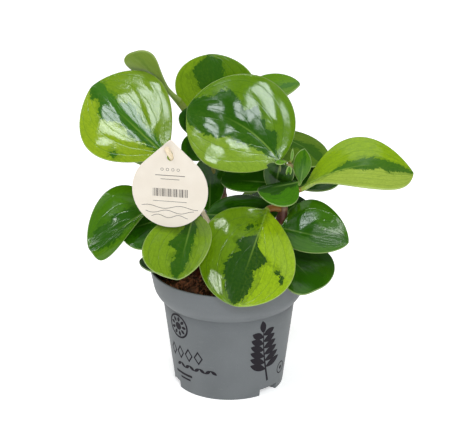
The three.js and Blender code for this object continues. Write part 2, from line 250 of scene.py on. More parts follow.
# %% [markdown]
# The nursery pot is thin injection-moulded plastic: a straight taper, a curved shoulder with a fine
# groove under it, and a wide band under the lip. A pot like this is round, so its outline is drawn
# once and spun round the axis. The notches in the foot and the drainage holes are cut afterwards, as
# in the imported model, with many more sides and with rounded lips, because that is where light catches.

# %% The pot's outline
POT = dict(height=94, floor=1.6, wall=1.3, foot=41.5, neck=50.3, neck_at=69, groove=0.5, band=57.6,
           band_at=81, rim=60, lip=0.9)
NOTCH = dict(angles=(46.5, -75, 166), width=25, height=5.4, inner=28, beyond=62, skin=1.2)
DRAIN = dict(count=6, ring=19, radius=3, turn=15)


def bezier(a, b, c, d, count):
    t = np.linspace(0, 1, count)[:, None]
    a, b, c, d = (np.array(p, float) for p in (a, b, c, d))
    return (1 - t) ** 3 * a + 3 * (1 - t) ** 2 * t * b + 3 * (1 - t) * t**2 * c + t**3 * d


def wall_line(inset, bottom):
    """The wall from the axis at its bottom up to the band, this far inside the outer face."""
    foot, neck, band = (POT[part] - inset for part in ("foot", "neck", "band"))
    neck_at, band_at = (POT[part] + inset / 2 for part in ("neck_at", "band_at"))
    slope, ease = (neck - foot) / (neck_at - bottom), 0.8
    groove = 0 if inset else POT["groove"]
    corner = bezier((foot - ease, bottom), (foot, bottom), (foot, bottom),
                    (foot + slope * ease, bottom + ease), 5)
    side = [(foot + slope * h, bottom + h) for h in np.linspace(4, neck_at - bottom - 2.2, 9)]
    crease = [(neck - 0.15 - groove, neck_at - 1.3), (neck - 0.1 - groove, neck_at - 0.4)]
    shoulder = bezier((neck + groove, neck_at), (neck + 0.9 + 2 * groove, neck_at + 2),
                      (band - 1.2, band_at - 7.5), (band, band_at), 18)
    return [(0, bottom), (foot - 2, bottom), *corner, *side, *crease, *shoulder]


def band_radius(height):
    share = (height - POT["band_at"]) / (POT["height"] - POT["band_at"])
    return POT["band"] + (POT["rim"] - POT["band"]) * share


print("pot:", POT["height"], "mm high,", 2 * POT["rim"], "mm across its rim")

# %% Spin the outline and cut the notches
def turned(name, line, sides=160):
    """A closed body from an outline that starts and ends on the axis."""
    line = np.array(line, float)
    radius, height, angle = line[1:-1, :1], line[1:-1, 1:], full_turn(sides)
    rings = np.stack([radius * np.cos(angle), radius * np.sin(angle), np.repeat(height, sides, axis=1)], -1)
    points = np.vstack([rings.reshape(-1, 3), [[0, 0, line[0, 1]], [0, 0, line[-1, 1]]]])
    return mesh_object(name, points, closed_faces(len(line) - 2, sides))


def sector(name, grow):
    """The blocks that make the notches; with grow, the wider ones that keep the cavity off them."""
    blocks = []
    near, far, top = NOTCH["inner"] - grow, NOTCH["beyond"], NOTCH["height"] + grow
    half = math.radians(NOTCH["width"] / 2) + grow / NOTCH["inner"]
    for angle in NOTCH["angles"]:
        middle = math.radians(angle - 90)
        turns = np.linspace(middle - half, middle + half, 9)
        flat = [(far * math.cos(t), far * math.sin(t)) for t in turns]
        flat += [(near * math.cos(t), near * math.sin(t)) for t in turns[::-1]]
        count = len(flat)
        points = [(x, y, z) for z in (-top, top) for x, y in flat]
        faces = [(i, (i + 1) % count, count + (i + 1) % count, count + i) for i in range(count)]
        faces += [tuple(range(count))[::-1], tuple(range(count, 2 * count))]
        blocks.append(mesh_object(name, points, faces, smooth=False))
    return blocks


def cut(body, tools):
    for tool in tools:
        change = body.modifiers.new("cut", "BOOLEAN")
        change.operation, change.solver, change.object = "DIFFERENCE", "EXACT", tool
    baked(body)
    for tool in tools:
        bpy.data.objects.remove(tool)
    return body


def drains():
    """The bores that make the holes in the floor."""
    r, deep = DRAIN["radius"], 2 * POT["floor"]
    for k in range(DRAIN["count"]):
        angle = math.radians(DRAIN["turn"] + 360 * k / DRAIN["count"])
        hole = turned("drain", [(0, -deep), (r, -deep), (r, deep), (0, deep)], 32)
        way = Vector((math.cos(angle), math.sin(angle), 0))
        hole.data.transform(Matrix.Translation(way * DRAIN["ring"] * MM))
        yield hole


rim, tall, wall = POT["rim"], POT["height"], POT["wall"]
lip_at = tall - POT["lip"]
inner_edge = (band_radius(lip_at) - wall, lip_at)
lip = bezier((rim, lip_at), (rim + 0.02, tall), (rim - 0.2, tall), (rim - 0.65, tall), 6)
inner_lip = bezier((rim - 0.75, tall), (rim - 1.2, tall), (rim - 1.3, tall - 0.1), inner_edge, 5)
outer = [*wall_line(0, 0), *lip, (0, tall)]
cavity = [*wall_line(wall, POT["floor"]), inner_edge, *inner_lip[::-1][1:]]
cavity += [(rim - 0.75, tall + 3), (0, tall + 3)]
hollow = cut(turned("cavity", cavity), sector("keep_off", NOTCH["skin"]))
pot = cut(turned("pot_wall", outer), [hollow, *sector("notch", 0), *drains()])
pot.data.shade_smooth()
pot.data.set_sharp_from_angle(angle=math.radians(32))
print("pot triangles:", sum(len(p.vertices) - 2 for p in pot.data.polygons))

# %% [markdown]
# The plastic is recycled, so it isn't one clean grey: faint clouds and tiny paler and darker specks
# run through it, the surface has a fine satin grain from the mould, and handling has left a few
# scuffs. Noise of three sizes on the object's own coordinates gives each of these its scale.

# %% The pot's plastic
def speckle_group():
    """Specks: small spots of a cell pattern that only some of the cells show."""
    tree, given, end = new_group("specks", {"Size": 1000.0, "Share": 0.2}, {"Mask": float})
    cells = node(tree, "ShaderNodeTexVoronoi", on_object(tree))
    join(given["Size"], cells.inputs["Scale"])
    chance = beside("ShaderNodeSeparateColor", cells.outputs["Color"]).outputs[0]
    chosen = maths("LESS_THAN", chance, given["Share"])
    join(times(step(cells.outputs["Distance"], 0.34, 0.1), chosen), end["Mask"])
    return tree


specks = speckle_group()


def specked(colour, size, share, amount, tint):
    mask = group_in(colour.id_data, specks, Size=size, Share=share)["Mask"]
    return mixed(times(mask, amount), colour, tint)


def pot_plastic():
    made, tree, shader = new_material("grey_nursery_plastic", specular=0.3)
    where = on_object(tree)
    wide = cloud(where, 22, 3)
    colour = mixed(step(wide, 0.3, 0.7), (101, 105, 107), (110, 114, 116))
    colour = specked(colour, 1100, 0.2, 0.25, (150, 152, 150))
    colour = specked(colour, 800, 0.12, 0.25, (72, 76, 78))
    scuffs = step(cloud(where, (60, 60, 420), 4, 0.7), 0.62, 0.8)
    join(mixed(times(scuffs, 0.25), colour, (150, 154, 155)), shader["Base Color"])
    join(times(scuffs, 0.12, times(wide, 0.16, 0.44)), shader["Roughness"])
    grain = times(cloud(where, 900), 0.018)
    bump(times(cloud(where, (8, 8, 160)), 0.05, grain), shader["Normal"], 0.7)
    return made


finished(pot, "pot", "pot", material=pot_plastic())
print("pot finish:", pot.data.materials[0].name)

# %% [markdown]
# Peat soil is a dark, crumbly mix: a rough ground of fine dust with larger crumbs, bark and fibre on
# it. The packed soil is plain, so a fine uneven skin lies just on top of it. Waves of a few lengths
# that cross at random are enough for that, because the crumbs will hide most of it.

# %% The soil's skin
SOIL = dict(level=86, unevenness=0.8, rings=6, under=83, above=0.35, rough=0.16)
soil_edge = band_radius(85) - wall - 0.7


def wave_sum(x, y, seed, sizes, steep=0.6):
    """Gentle unevenness: waves of a few lengths that run in random directions."""
    dice = np.random.default_rng(seed)
    total = np.zeros_like(np.asarray(x, float))
    for size in sizes:
        for _ in range(3):
            a, shift = dice.uniform(0, math.tau, 2)
            total += size**steep * np.sin((x * math.cos(a) + y * math.sin(a)) * math.tau / size + shift)
    return total


def soil_height(radius, x, y):
    k = (1 - radius / soil_edge) * SOIL["rings"]
    plain = SOIL["level"] + SOIL["unevenness"] * np.cos(2.3 * k) * np.clip(k, 0, 1) - np.clip(1 - k, 0, 1)
    return plain + SOIL["above"] + SOIL["rough"] * wave_sum(x, y, 4, (18, 9, 5, 2.6))


def soil_skin():
    rings, sides = 46, 120
    radius, angle = np.linspace(0, soil_edge, rings + 1)[1:, None], full_turn(sides)
    x, y = radius * np.cos(angle), radius * np.sin(angle)
    top = np.stack([x, y, soil_height(radius, x, y)], -1).reshape(-1, 3)
    skirt = np.stack([x[-1], y[-1], np.full(sides, SOIL["under"])], -1)
    points = np.vstack([top, skirt, [[0, 0, float(soil_height(0.0, 0.0, 0.0))], [0, 0, SOIL["under"]]]])
    outward = [(f[0], *f[:0:-1]) for f in closed_faces(rings + 1, sides)]
    return mesh_object("soil_skin", points, outward)


soil = soil_skin()
print("soil skin faces:", len(soil.data.polygons))

# %% [markdown]
# Peat is reddish brown on its lumps. A picture of it would repeat, so one soft noise gives both the
# height of the lumps and their colour, and the hollows get the near-black end: painted shade.
# The ground and the crumbs share this recipe, and the crumbs' pale end is paler, so that they show.

# %% The soil's finish
def peat(name, pale):
    made, tree, shader = new_material(name, roughness=0.95, specular=0.2)
    lumps = cloud(on_object(tree), 260, 4, 0.65)
    # Painted shade: where the lumps noise is low, in the hollows, the colour goes to its near-black end.
    colour = mixed(step(lumps, 0.35, 0.62), (46, 30, 20), pale)
    join(specked(colour, 300, 0.16, 1, (168, 104, 72)), shader["Base Color"])
    bump(times(lumps, 1.2), shader["Normal"])
    return made


ground_finish, crumb_finish = peat("peat_ground", (104, 66, 46)), peat("peat_crumbs", (142, 88, 60))
dress(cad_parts["potting_soil"], ground_finish)
finished(soil, "soil", material=ground_finish)
print("soil finishes:", ground_finish.name, "and", crumb_finish.name)

# %% [markdown]
# Loose crumbs lie all over the peat. Placed by hand they would look arranged, so Geometry Nodes spread
# points over the skin, a little short of the pot's wall, and put one of three crumb shapes on each.
# Turned and scaled at random from a fixed seed, three shapes are enough to look endless.

# %% Crumbs scattered with Geometry Nodes
def crumb(name, seed, long):
    """A small lump: a ball of few faces pushed in and out, and stretched."""
    shape = bmesh.new()
    bmesh.ops.create_icosphere(shape, subdivisions=2, radius=1)
    dice = np.random.default_rng(seed)
    pushes = unit_rows(dice.normal(size=(7, 3)))
    for v in shape.verts:
        v.co *= 0.75 + 0.35 * float(np.max(pushes @ np.array(v.co))) + 0.08 * dice.normal()
        v.co.x *= long
    mesh = bpy.data.meshes.new(name)
    shape.to_mesh(mesh)
    shape.free()
    return bpy.data.objects.new(name, mesh)


def crumb_tree(shapes, finish):
    """Nodes that put a random crumb on points of the upward faces within a radius."""
    tree = bpy.data.node_groups.new("scatter_crumbs", "GeometryNodeTree")
    for key, way, kind in (("Geometry", "INPUT", "Geometry"), ("Crumbs per square metre", "INPUT", "Float"),
                           ("Smallest", "INPUT", "Float"), ("Largest", "INPUT", "Float"),
                           ("Keep inside", "INPUT", "Float"), ("Seed", "INPUT", "Int"),
                           ("Geometry", "OUTPUT", "Geometry")):
        tree.interface.new_socket(key, in_out=way, socket_type="NodeSocket" + kind)
    given = tree.nodes.new("NodeGroupInput").outputs
    end = tree.nodes.new("NodeGroupOutput").inputs
    upward = beside("ShaderNodeSeparateXYZ", node(tree, "GeometryNodeInputNormal").outputs[0]).outputs[2]
    flat = vectors("MULTIPLY", node(tree, "GeometryNodeInputPosition").outputs[0], (1, 1, 0))
    reach = vectors("LENGTH", flat, output="Value")
    inner = beside("FunctionNodeCompare", reach, given["Keep inside"], operation="LESS_THAN").outputs[0]
    facing = beside("FunctionNodeCompare", upward, 0.5, operation="GREATER_THAN").outputs[0]
    spread = node(tree, "GeometryNodeDistributePointsOnFaces")
    for key, value in (("Mesh", given["Geometry"]), ("Density", given["Crumbs per square metre"]),
                       ("Seed", given["Seed"]),
                       ("Selection", beside("FunctionNodeBooleanMath", inner, facing).outputs[0])):
        join(value, spread.inputs[key])
    choice = tree.nodes.new("GeometryNodeJoinGeometry")
    for shape in shapes:
        info = node(tree, "GeometryNodeObjectInfo")
        info.inputs["Object"].default_value = shape
        info.inputs["As Instance"].default_value = True
        join(info.outputs["Geometry"], choice.inputs[0])
    turn = node(tree, "FunctionNodeRandomValue", data_type="FLOAT_VECTOR")
    turn.inputs[1].default_value = (6.28, 6.28, 6.28)
    grow = node(tree, "FunctionNodeRandomValue", None, None, given["Smallest"], given["Largest"],
                data_type="FLOAT")
    placed = node(tree, "GeometryNodeInstanceOnPoints")
    for key, value in (("Points", spread.outputs["Points"]), ("Instance", choice.outputs[0]),
                       ("Rotation", turn.outputs[0]), ("Scale", grow.outputs[1]), ("Pick Instance", True)):
        join(value, placed.inputs[key])
    real = beside("GeometryNodeRealizeInstances", placed.outputs[0])
    dressed = beside("GeometryNodeSetMaterial", real.outputs[0])
    dressed.inputs["Material"].default_value = finish
    join(dressed.outputs[0], end[0])
    return tree


def scattered(name, ground, tree, **values):
    made = in_scene(name, ground.data.copy())
    change = made.modifiers.new("scatter", "NODES")
    change.node_group = tree
    for item in tree.interface.items_tree:
        key = item.name.replace(" ", "_").lower()
        if item.in_out == "INPUT" and key in values:
            change[item.identifier] = values[key]
    return baked(made)


shapes = [crumb("crumb_round", 1, 1.0), crumb("crumb_flat", 2, 1.5), crumb("crumb_long", 3, 2.6)]
crumbs = scattered("soil_crumbs", soil, crumb_tree(shapes, crumb_finish), crumbs_per_square_metre=80000.0,
                   smallest=0.0004, largest=0.0016, keep_inside=(soil_edge - 3.4) * MM, seed=8)
crumbs.data.polygons.foreach_set("use_smooth", [True] * len(crumbs.data.polygons))
for shape in shapes:
    bpy.data.objects.remove(shape)
print("crumb faces:", len(crumbs.data.polygons))
finished(crumbs, "soil")

# %% [markdown]
# Three stems carry all the leaves. A peperomia's stem is a smooth fleshy tube, reddish brown where it
# is old and greener near the tip, with a swollen joint wherever a leaf leaves it. Each follows a
# smooth curve through a few points; its radius swells at the heights where leaves sit.

# %% Stem lines
STEM_RADIUS = 2.8
STEMS = {
    "stem_right": [(22, -4, 62), (26, -6, 85), (33, -9, 110), (39, -12, 135), (43, -14, 165), (45, -14, 182)],
    "stem_left": [(-19, 0, 62), (-22, -1, 85), (-26, -2, 110), (-34, -3, 140), (-42, -2, 165),
                  (-46, -2, 186)],
    "stem_back": [(1, 27, 62), (-1, 29, 85), (-3, 30, 110), (-5, 30, 150), (-8, 30, 180), (-10, 30, 200)],
}


def stem_points(name, t):
    """Points of a stem's centre line, with t from 0 at its foot to 1 at its end."""
    given = np.array(STEMS[name], float)
    held = np.vstack([2 * given[0] - given[1], given, 2 * given[-1] - given[-2]])
    where = np.clip(t, 0, 1) * (len(given) - 1)
    i = np.minimum(where.astype(int), len(given) - 2)
    w = (where - i)[:, None]
    a, b, c, d = (held[i + k] for k in range(4))
    go, stop = (c - a) / 2, (d - b) / 2
    return ((2 * w**3 - 3 * w**2 + 1) * b + (w**3 - 2 * w**2 + w) * go + (3 * w**2 - 2 * w**3) * c
            + (w**3 - w**2) * stop)


def stem_at(name, height):
    """The centre of a stem at a height and its direction there."""
    line = stem_points(name, np.linspace(0, 1, 2001))
    i = min(int(np.searchsorted(line[:, 2], height)), len(line) - 2)
    return line[i], unit_rows(line[i + 1] - line[i])


print("stems:", ", ".join(STEMS))

# %% [markdown]
# The leaves in view were measured with a known camera: where each blade starts and ends, which way
# its face looks and how wide its two halves are. Those behind are of the same size and habit. These
# few numbers are all that a leaf needs, because its stalk and its skin are worked out from them.

# %% Leaf places
LEAVES = {}


def add_leaf(name, tone, stem, at, base, tip, face, half, form=((0.62, 0.48), (0.62, 0.48)), cup=(-5, -5),
             arch=1, sway=0):
    """Lists a leaf: its tone, the height at which it leaves its stem, the blade's base and tip, the way
    its upper face looks, its half widths left and right of the midrib, the exponents of their outlines,
    the bend of each half in degrees, and how far the midrib bows up (arch) or aside (sway)."""
    LEAVES[name] = dict(tone=tone, on=stem, at=at, base=base, tip=tip, face=face, half=half, form=form,
                        cup=cup, arch=arch, sway=sway)


add_leaf("leaf_upper_left", "lime", "stem_left", 172, (-46, -8, 184), (-102, 14, 232), (0.05, -0.9, 0.42),
         (36, 38.5), form=((1, 0.72), (0.92, 0.66)), arch=2)
add_leaf("leaf_upper_centre", "lime", "stem_right", 172, (37, -16, 184), (-31, 2, 219), (0, -0.9, 0.45),
         (38, 40), form=((0.42, 0.33), (0.68, 0.84)), arch=2, sway=9)
add_leaf("leaf_top_back", "lime", "stem_back", 189, (-5, 34, 195), (-16, 48, 246), (-0.1, -0.75, 0.65),
         (29.5, 31), form=((0.6, 0.42), (0.5, 0.62)))
add_leaf("leaf_top_right", "lime", "stem_back", 181, (13, 50, 211), (54, 48, 222), (0.1, -0.3, 0.95),
         (22, 14.5), form=((0.43, 0.7), (0.6, 0.8)))
add_leaf("leaf_top_left", "lime", "stem_back", 194, (-38, 28, 216), (-70, 14, 259), (0.4, 0.85, 0.35),
         (13, 16), form=((2.6, 0.4), (1.6, 0.4)))
add_leaf("leaf_mid_left", "dark", "stem_left", 140, (-55, -8, 146), (-104, -34, 121.5),
         (-0.25, -0.85, 0.45), (13.8, 29.5), form=((1.6, 0.25), (0.4, 0.74)), cup=(-55, -5))
add_leaf("leaf_under_left", "dark", "stem_left", 118, (-52, -4, 132), (-82, -14, 125), (0, -0.5, 0.85),
         (21, 22))
add_leaf("leaf_front_left", "lime", "stem_left", 126, (-26, -30, 148), (-38, -78, 116), (0, -0.85, 0.5),
         (18, 30.5), form=((0.52, 0.72), (0.6, 0.37)), cup=(15, -5))
add_leaf("leaf_front_centre", "lime", "stem_right", 146, (28, -18, 145), (3, -69, 91), (0, -0.8, 0.6),
         (35, 39.3), form=((0.8, 0.68), (0.39, 0.48)), arch=2)
add_leaf("leaf_mid_right", "dark", "stem_right", 133, (39, -20, 132), (88, -40, 130), (0.1, -0.75, 0.65),
         (28, 14.6), form=((0.43, 0.72), (0.42, 0.6)), cup=(-10, -12), arch=0.6)
add_leaf("leaf_low_right", "dark", "stem_right", 108, (42, -14, 108.5), (67, -47, 95), (0.2, -0.5, 0.8),
         (29, 20.5), form=((0.3, 0.5), (0.5, 0.24)))
add_leaf("leaf_long_right", "lime", "stem_right", 160, (57, -12, 162), (136, -20, 176), (0, -0.25, 0.97),
         (34.3, 33), form=((0.75, 0.82), (1.5, 0.62)), cup=(12, 12), arch=12)
add_leaf("leaf_back_right", "dark", "stem_back", 172, (33, 36, 187), (74, 22, 170), (0.1, -0.2, 0.9),
         (18.5, 25), form=((0.62, 0.48), (0.35, 0.48)))
add_leaf("leaf_inner_centre", "dark", "stem_right", 152, (37, 0, 160), (-6, 10, 159), (0, -0.7, 0.7),
         (9, 20), form=((0.62, 0.48), (0.3, 0.48)))
add_leaf("leaf_inner_low", "dark", "stem_left", 118, (-17, 0, 134), (37, 1, 137), (0, -0.5, 0.85), (18, 14),
         form=((0.55, 0.6), (0.5, 0.5)))
add_leaf("leaf_inner_left", "dark", "stem_back", 120, (-15, 14, 132), (-14, 19, 175), (0.2, -0.8, 0.5),
         (14, 12))
add_leaf("leaf_inner_right", "dark", "stem_right", 156, (53, 4, 155), (79, 26, 161), (0, -0.3, 0.95),
         (24, 17), form=((0.3, 0.5), (0.62, 0.48)))
add_leaf("leaf_low_left", "dark", "stem_left", 97, (-41, 3, 96), (-64, -12, 96), (-0.2, -0.1, 0.98),
         (18, 18), arch=1.5)
add_leaf("leaf_small_right", "dark", "stem_right", 126, (45, 4, 136), (57, 18, 140), (0, -0.5, 0.85),
         (13, 13))
add_leaf("leaf_shade_upper", "dark", "stem_back", 174, (-15, 22, 189), (-36, 25, 208), (-0.2, -0.8, 0.5),
         (9, 14))
add_leaf("leaf_shade_middle", "dark", "stem_back", 150, (-20, 10, 197), (-31, 6, 178), (-0.2, -0.8, 0.5),
         (12, 10))
add_leaf("leaf_rear_top", "lime", "stem_back", 156, (5, 38, 158), (9, 70, 174), (0.1, 0.5, 0.85), (27, 27))
add_leaf("leaf_rear_left", "dark", "stem_back", 138, (-18, 38, 138), (-53, 60, 150), (-0.3, 0.4, 0.85),
         (22, 22))
add_leaf("leaf_rear_right", "lime", "stem_back", 126, (14, 38, 128), (44, 64, 132), (0.3, 0.4, 0.85),
         (23, 23))
add_leaf("leaf_rear_low", "dark", "stem_back", 104, (-11, 40, 110), (-26, 72, 107), (-0.2, 0.4, 0.85),
         (22, 22))
add_leaf("leaf_rear_side", "lime", "stem_left", 158, (-43, 12, 168), (-74, 46, 179), (-0.3, 0.3, 0.85),
         (21, 21))
add_leaf("leaf_rear_low_left", "dark", "stem_left", 100, (-34, 18, 108), (-62, 42, 98), (-0.4, 0.3, 0.85),
         (20, 20))
add_leaf("leaf_young_upright", "young", "stem_right", 166, (53, -14, 166), (56, -10, 192),
         (0.1, -0.95, 0.2), (7.4, 6.5), form=((0.85, 0.66), (1.2, 1)), arch=0.5)
add_leaf("leaf_young_folded", "young", "stem_right", 162, (50, -21, 169), (21, -36, 168), (-0.1, -0.7, 0.7),
         (18, 8), form=((0.5, 0.55), (0.5, 0.55)), cup=(5, -100))
add_leaf("leaf_young_behind", "young", "stem_right", 168, (37.5, -20.5, 184), (34, -15, 159),
         (-0.1, -0.9, 0.4), (12, 11), form=((0.22, 0.6), (0.3, 0.6)))
add_leaf("bud_leaf", "young", "stem_right", 180, (41, -18, 184.5), (34, -22, 185), (0.1, -0.5, 0.8),
         (2.4, 2.4), form=((0.5, 0.5), (0.5, 0.5)), arch=0.2)
add_leaf("bud_rolled", "young", "stem_right", 173, (43.5, -20.5, 175), (44.6, -22, 182.5), (0, -1, 0.2),
         (2.6, 2.6), form=((0.5, 0.5), (0.5, 0.5)), cup=(70, 70), arch=0.2)
add_leaf("bud_spike", "young", "stem_right", 182, (46.3, -14, 185), (47, -14, 194), (0, -1, 0), (1.3, 1.3),
         form=((0.4, 0.8), (0.4, 0.8)), arch=0.2)
print(len(LEAVES), "leaves are listed")

# %% [markdown]
# A stem could be a curve with a round bevel, but its swellings follow the leaves, so it is made as
# rings of points round its line. Each point also stores how far along the stem it lies and how near
# a joint it is, for the finish to follow.

# %% Stem tubes
# A stem gets thinner by this share up to its end, and swells this much, over this reach, at each leaf.
TAPER, SWELLING, SWELL_REACH = 0.16, 0.6, 1.5
# It thickens where several stalks crowd: the height, the reach up and down, and the extra radius.
KNOTS = {"stem_right": (134, 9, 2.0)}


def squared(v, way):
    """The part of v that is square to the unit vectors way, at length 1."""
    return unit_rows(v - way * np.sum(v * way, axis=-1, keepdims=True))


def tube(points, radii, sides):
    """Rings of points round a line."""
    way = unit_rows(np.gradient(points, axis=0))
    high = squared(np.array((0, -1, 0), float), way)
    turn = full_turn(sides)[:, None]
    round_way = np.cross(way, high)[:, None] * np.cos(turn) + high[:, None] * np.sin(turn)
    return points[:, None] + radii[:, None, None] * round_way


def stem_piece(name, finish):
    """A stem as a tube with a joint at each leaf and a rounded end."""
    t, sides = np.linspace(0, 1, 110), 24
    line = stem_points(name, t)
    joints = [leaf["at"] for leaf in LEAVES.values() if leaf["on"] == name]
    swell = np.minimum(sum(np.exp(-(((line[:, 2] - at) / SWELL_REACH) ** 2)) for at in joints), 1)
    left = np.clip(np.linalg.norm(line - line[-1], axis=1) / STEM_RADIUS, 0.02, 1)
    radii = (STEM_RADIUS * (1 - TAPER * t) + SWELLING * swell) * np.sqrt(left * (2 - left))
    if name in KNOTS:
        at, long, more = KNOTS[name]
        radii += more * np.exp(-(((line[:, 2] - at) / long) ** 2))
    points = np.vstack([tube(line, radii, sides).reshape(-1, 3), line[[0, -1]]])
    values = {"along": np.append(np.repeat(t, sides), [0, 1]),
              "joint": np.append(np.repeat(swell, sides), [0, 0])}
    piece = mesh_object(name + "_grown", points, closed_faces(len(t), sides), values=values)
    return finished(piece, "stem", name, material=finish)


# %% [markdown]
# The skin of a stem is blotched in two browns, paler at its joints and green where it is young. Noise
# makes the blotches. The joints and the young end follow the numbers stored on the mesh, because no
# pattern in space would know where they are.

# %% The stems' finish
def stem_skin():
    made, tree, shader = new_material("stem_skin", roughness=0.42)
    where = on_object(tree)
    blotch = cloud(where, 180, 3, 0.6)
    colour = mixed(step(blotch, 0.35, 0.65), (74, 34, 26), (112, 58, 36))
    young = step(times(blotch, 0.3, stored(tree, "along")), 0.85, 1.1)
    colour = mixed(young, colour, (88, 110, 40))
    colour = mixed(times(stored(tree, "joint"), 0.55), colour, (168, 140, 104))
    join(specked(colour, 900, 0.25, 0.5, (66, 26, 24)), shader["Base Color"])
    bump(times(cloud(where, (900, 900, 160), 3), 0.12), shader["Normal"])
    return made


bark = stem_skin()
for name in STEMS:
    carried = sum(leaf["on"] == name for leaf in LEAVES.values())
    print(stem_piece(name, bark).name, "carries", carried, "leaves")

# %% [markdown]
# A leaf of this plant is thick, fleshy and waxy, and its two halves are seldom alike. So each half's
# outline is a simple curve of its own, with one exponent for the base and one for the tip, and each
# half bends by its own angle. The midrib may bow up or aside. That is enough for every leaf here.

# %% The shape of a blade
def outline(u, form):
    """The share of the half width at u, 0 at the base and the tip and 1 where it is widest."""
    a, b = form
    peak = (a / (a + b)) ** a * (b / (a + b)) ** b
    return u**a * np.maximum(1 - u, 0) ** b / peak


def leaf_axes(leaf):
    base, tip = (np.array(leaf[k], float) for k in ("base", "tip"))
    span = float(np.linalg.norm(tip - base))
    along = (tip - base) / span
    up = squared(np.array(leaf["face"], float), along)
    return base, np.cross(along, up), along, up, span


def by_side(s, pair, make=lambda v: v):
    """A value for each point, from the leaf's left value where s is below 0 and its right one elsewhere."""
    return np.where(s < 0, make(pair[0]), make(pair[1]))


def blade_widths(leaf, u, s):
    return by_side(s, (0, 1), lambda k: leaf["half"][k] * outline(u, leaf["form"][k]))


def blade_at(leaf, u, s, out):
    """Points of the middle surface at the distance out from the midrib, and the normals there."""
    base, x, y, z, span = leaf_axes(leaf)
    bow, slope = (4 * u * (1 - u))[..., None], (4 * (1 - 2 * u))[..., None]
    middle = base + leaf["sway"] * bow * x + u[..., None] * span * y + leaf["arch"] * bow * z
    way = unit_rows(leaf["sway"] * slope * x + y * span + leaf["arch"] * slope * z)
    up = squared(z, way)
    across = np.cross(way, up)
    bend = by_side(s, [math.radians(leaf["cup"][k]) / leaf["half"][k] for k in (0, 1)])
    aside, rise = np.sign(s) * np.sin(bend * out), np.cos(bend * out)
    points = middle + across * (aside / bend)[..., None] + up * ((1 - rise) / bend)[..., None]
    return points, up * rise[..., None] - across * aside[..., None]


def blade_point(leaf, u):
    """A point of the midrib."""
    return blade_at(leaf, np.array([u]), np.array([0.0]), np.array([0.0]))[0][0]


spans = [leaf_axes(leaf)[4] for leaf in LEAVES.values()]
print("blades:", round(min(spans), 1), "to", round(max(spans), 1), "mm long")

# %% [markdown]
# Seen across, a blade rises a little between its veins, like a quilt, and it waves slowly. What the
# eye notices most is where the wax mirrors a light, in patches with clear outlines. Paint can't do
# that, because it wouldn't move with the light. So the skin itself turns: inside each outline it is
# made to mirror the light to the camera, outside it turns away, and the heights are those whose
# slopes come nearest to this.

# %% Quilting, waves and places that shine
# Side veins: how far across each one ends up, how far along the midrib it leaves it, and how fast it
# turns to run with the midrib.
VEINS = ((0.84, 0.0, 0.16), (0.6, 0.03, 0.2), (0.4, 0.14, 0.2), (0.27, 0.34, 0.2), (0.18, 0.56, 0.2))
# The camera, the small bright lights that the waxy leaves mirror, and how far skin that shouldn't shine
# stays off them.
EYE = np.array((-3, -1600, 793), float)
MIRRORED = {"window": (290, -2020, 1760), "front": (-30, -820, 2200), "left": (-760, -320, 2200)}
DULL = math.radians(9)
# A distance greater than any on a leaf.
FAR = 1e9


def quilt(u, s, width):
    """The panels' height, from 0 on a vein to 1 far from any."""
    gap = np.abs(s) * width
    for end, start, turn in VEINS:
        line = end * (1 - np.exp(-np.maximum(u - start, 0) / turn))
        gap = np.where(u > start, np.minimum(gap, np.abs(np.abs(s) - line) * width), gap)
    return 1 - np.exp(-gap / 3)


def plain_relief(leaf, u, s, width, number):
    """Soft panels between the veins, and slow waves."""
    size = min(leaf["half"]) / 35
    waves = wave_sum(s * width, u * leaf_axes(leaf)[4], 40 + number, (48, 26, 15), 1.0)
    return 0.1 * size * quilt(u, s, width) + 0.0025 * waves


def outline_gap(corners, x, y):
    """The distance from each place to an outline, below 0 inside it, and the way to its nearest point."""
    best, away_x, away_y = np.full(x.shape, FAR), np.zeros(x.shape), np.zeros(x.shape)
    inside = np.zeros(x.shape, bool)
    for (ax, ay), (bx, by) in zip(corners, np.roll(corners, -1, axis=0)):
        run_x, run_y = bx - ax, by - ay
        t = np.clip(((x - ax) * run_x + (y - ay) * run_y) / (run_x**2 + run_y**2 + 1e-9), 0, 1)
        gap_x, gap_y = x - ax - t * run_x, y - ay - t * run_y
        gap = np.hypot(gap_x, gap_y)
        nearer = gap < best
        best, away_x, away_y = (np.where(nearer, new, old) for new, old in
                                ((gap, best), (gap_x, away_x), (gap_y, away_y)))
        crossed = (ay > y) != (by > y)
        inside ^= crossed & (x < ax + (y - ay) * run_x / np.where(run_y == 0, 1e-9, run_y))
    return np.where(inside, -best, best), away_x, away_y


def settle(rise_u, rise_s, stiff_u, stiff_s, hold):
    """Heights whose steps between neighbours come nearest to the wanted ones, by conjugate gradients."""
    def gather(along, across):
        out = np.zeros(hold.shape)
        out[1:] += along
        out[:-1] -= along
        out[:, 1:] += across
        out[:, :-1] -= across
        return out

    def pull(h):
        return gather(stiff_u * np.diff(h, axis=0), stiff_s * np.diff(h, axis=1)) + hold * h

    height = np.zeros(hold.shape)
    left = gather(stiff_u * rise_u, stiff_s * rise_s)
    way, size = left.copy(), np.sum(left * left)
    for _ in range(500):
        pulled = pull(way)
        stride = size / np.sum(way * pulled)
        height += stride * way
        left -= stride * pulled
        fresh = np.sum(left * left)
        way, size = left + fresh / size * way, fresh
    return height


def glints(light, points):
    """The normals at which each point would mirror a light to the eye."""
    return unit_rows(unit_rows(EYE - points) + unit_rows(np.array(MIRRORED[light], float) - points))


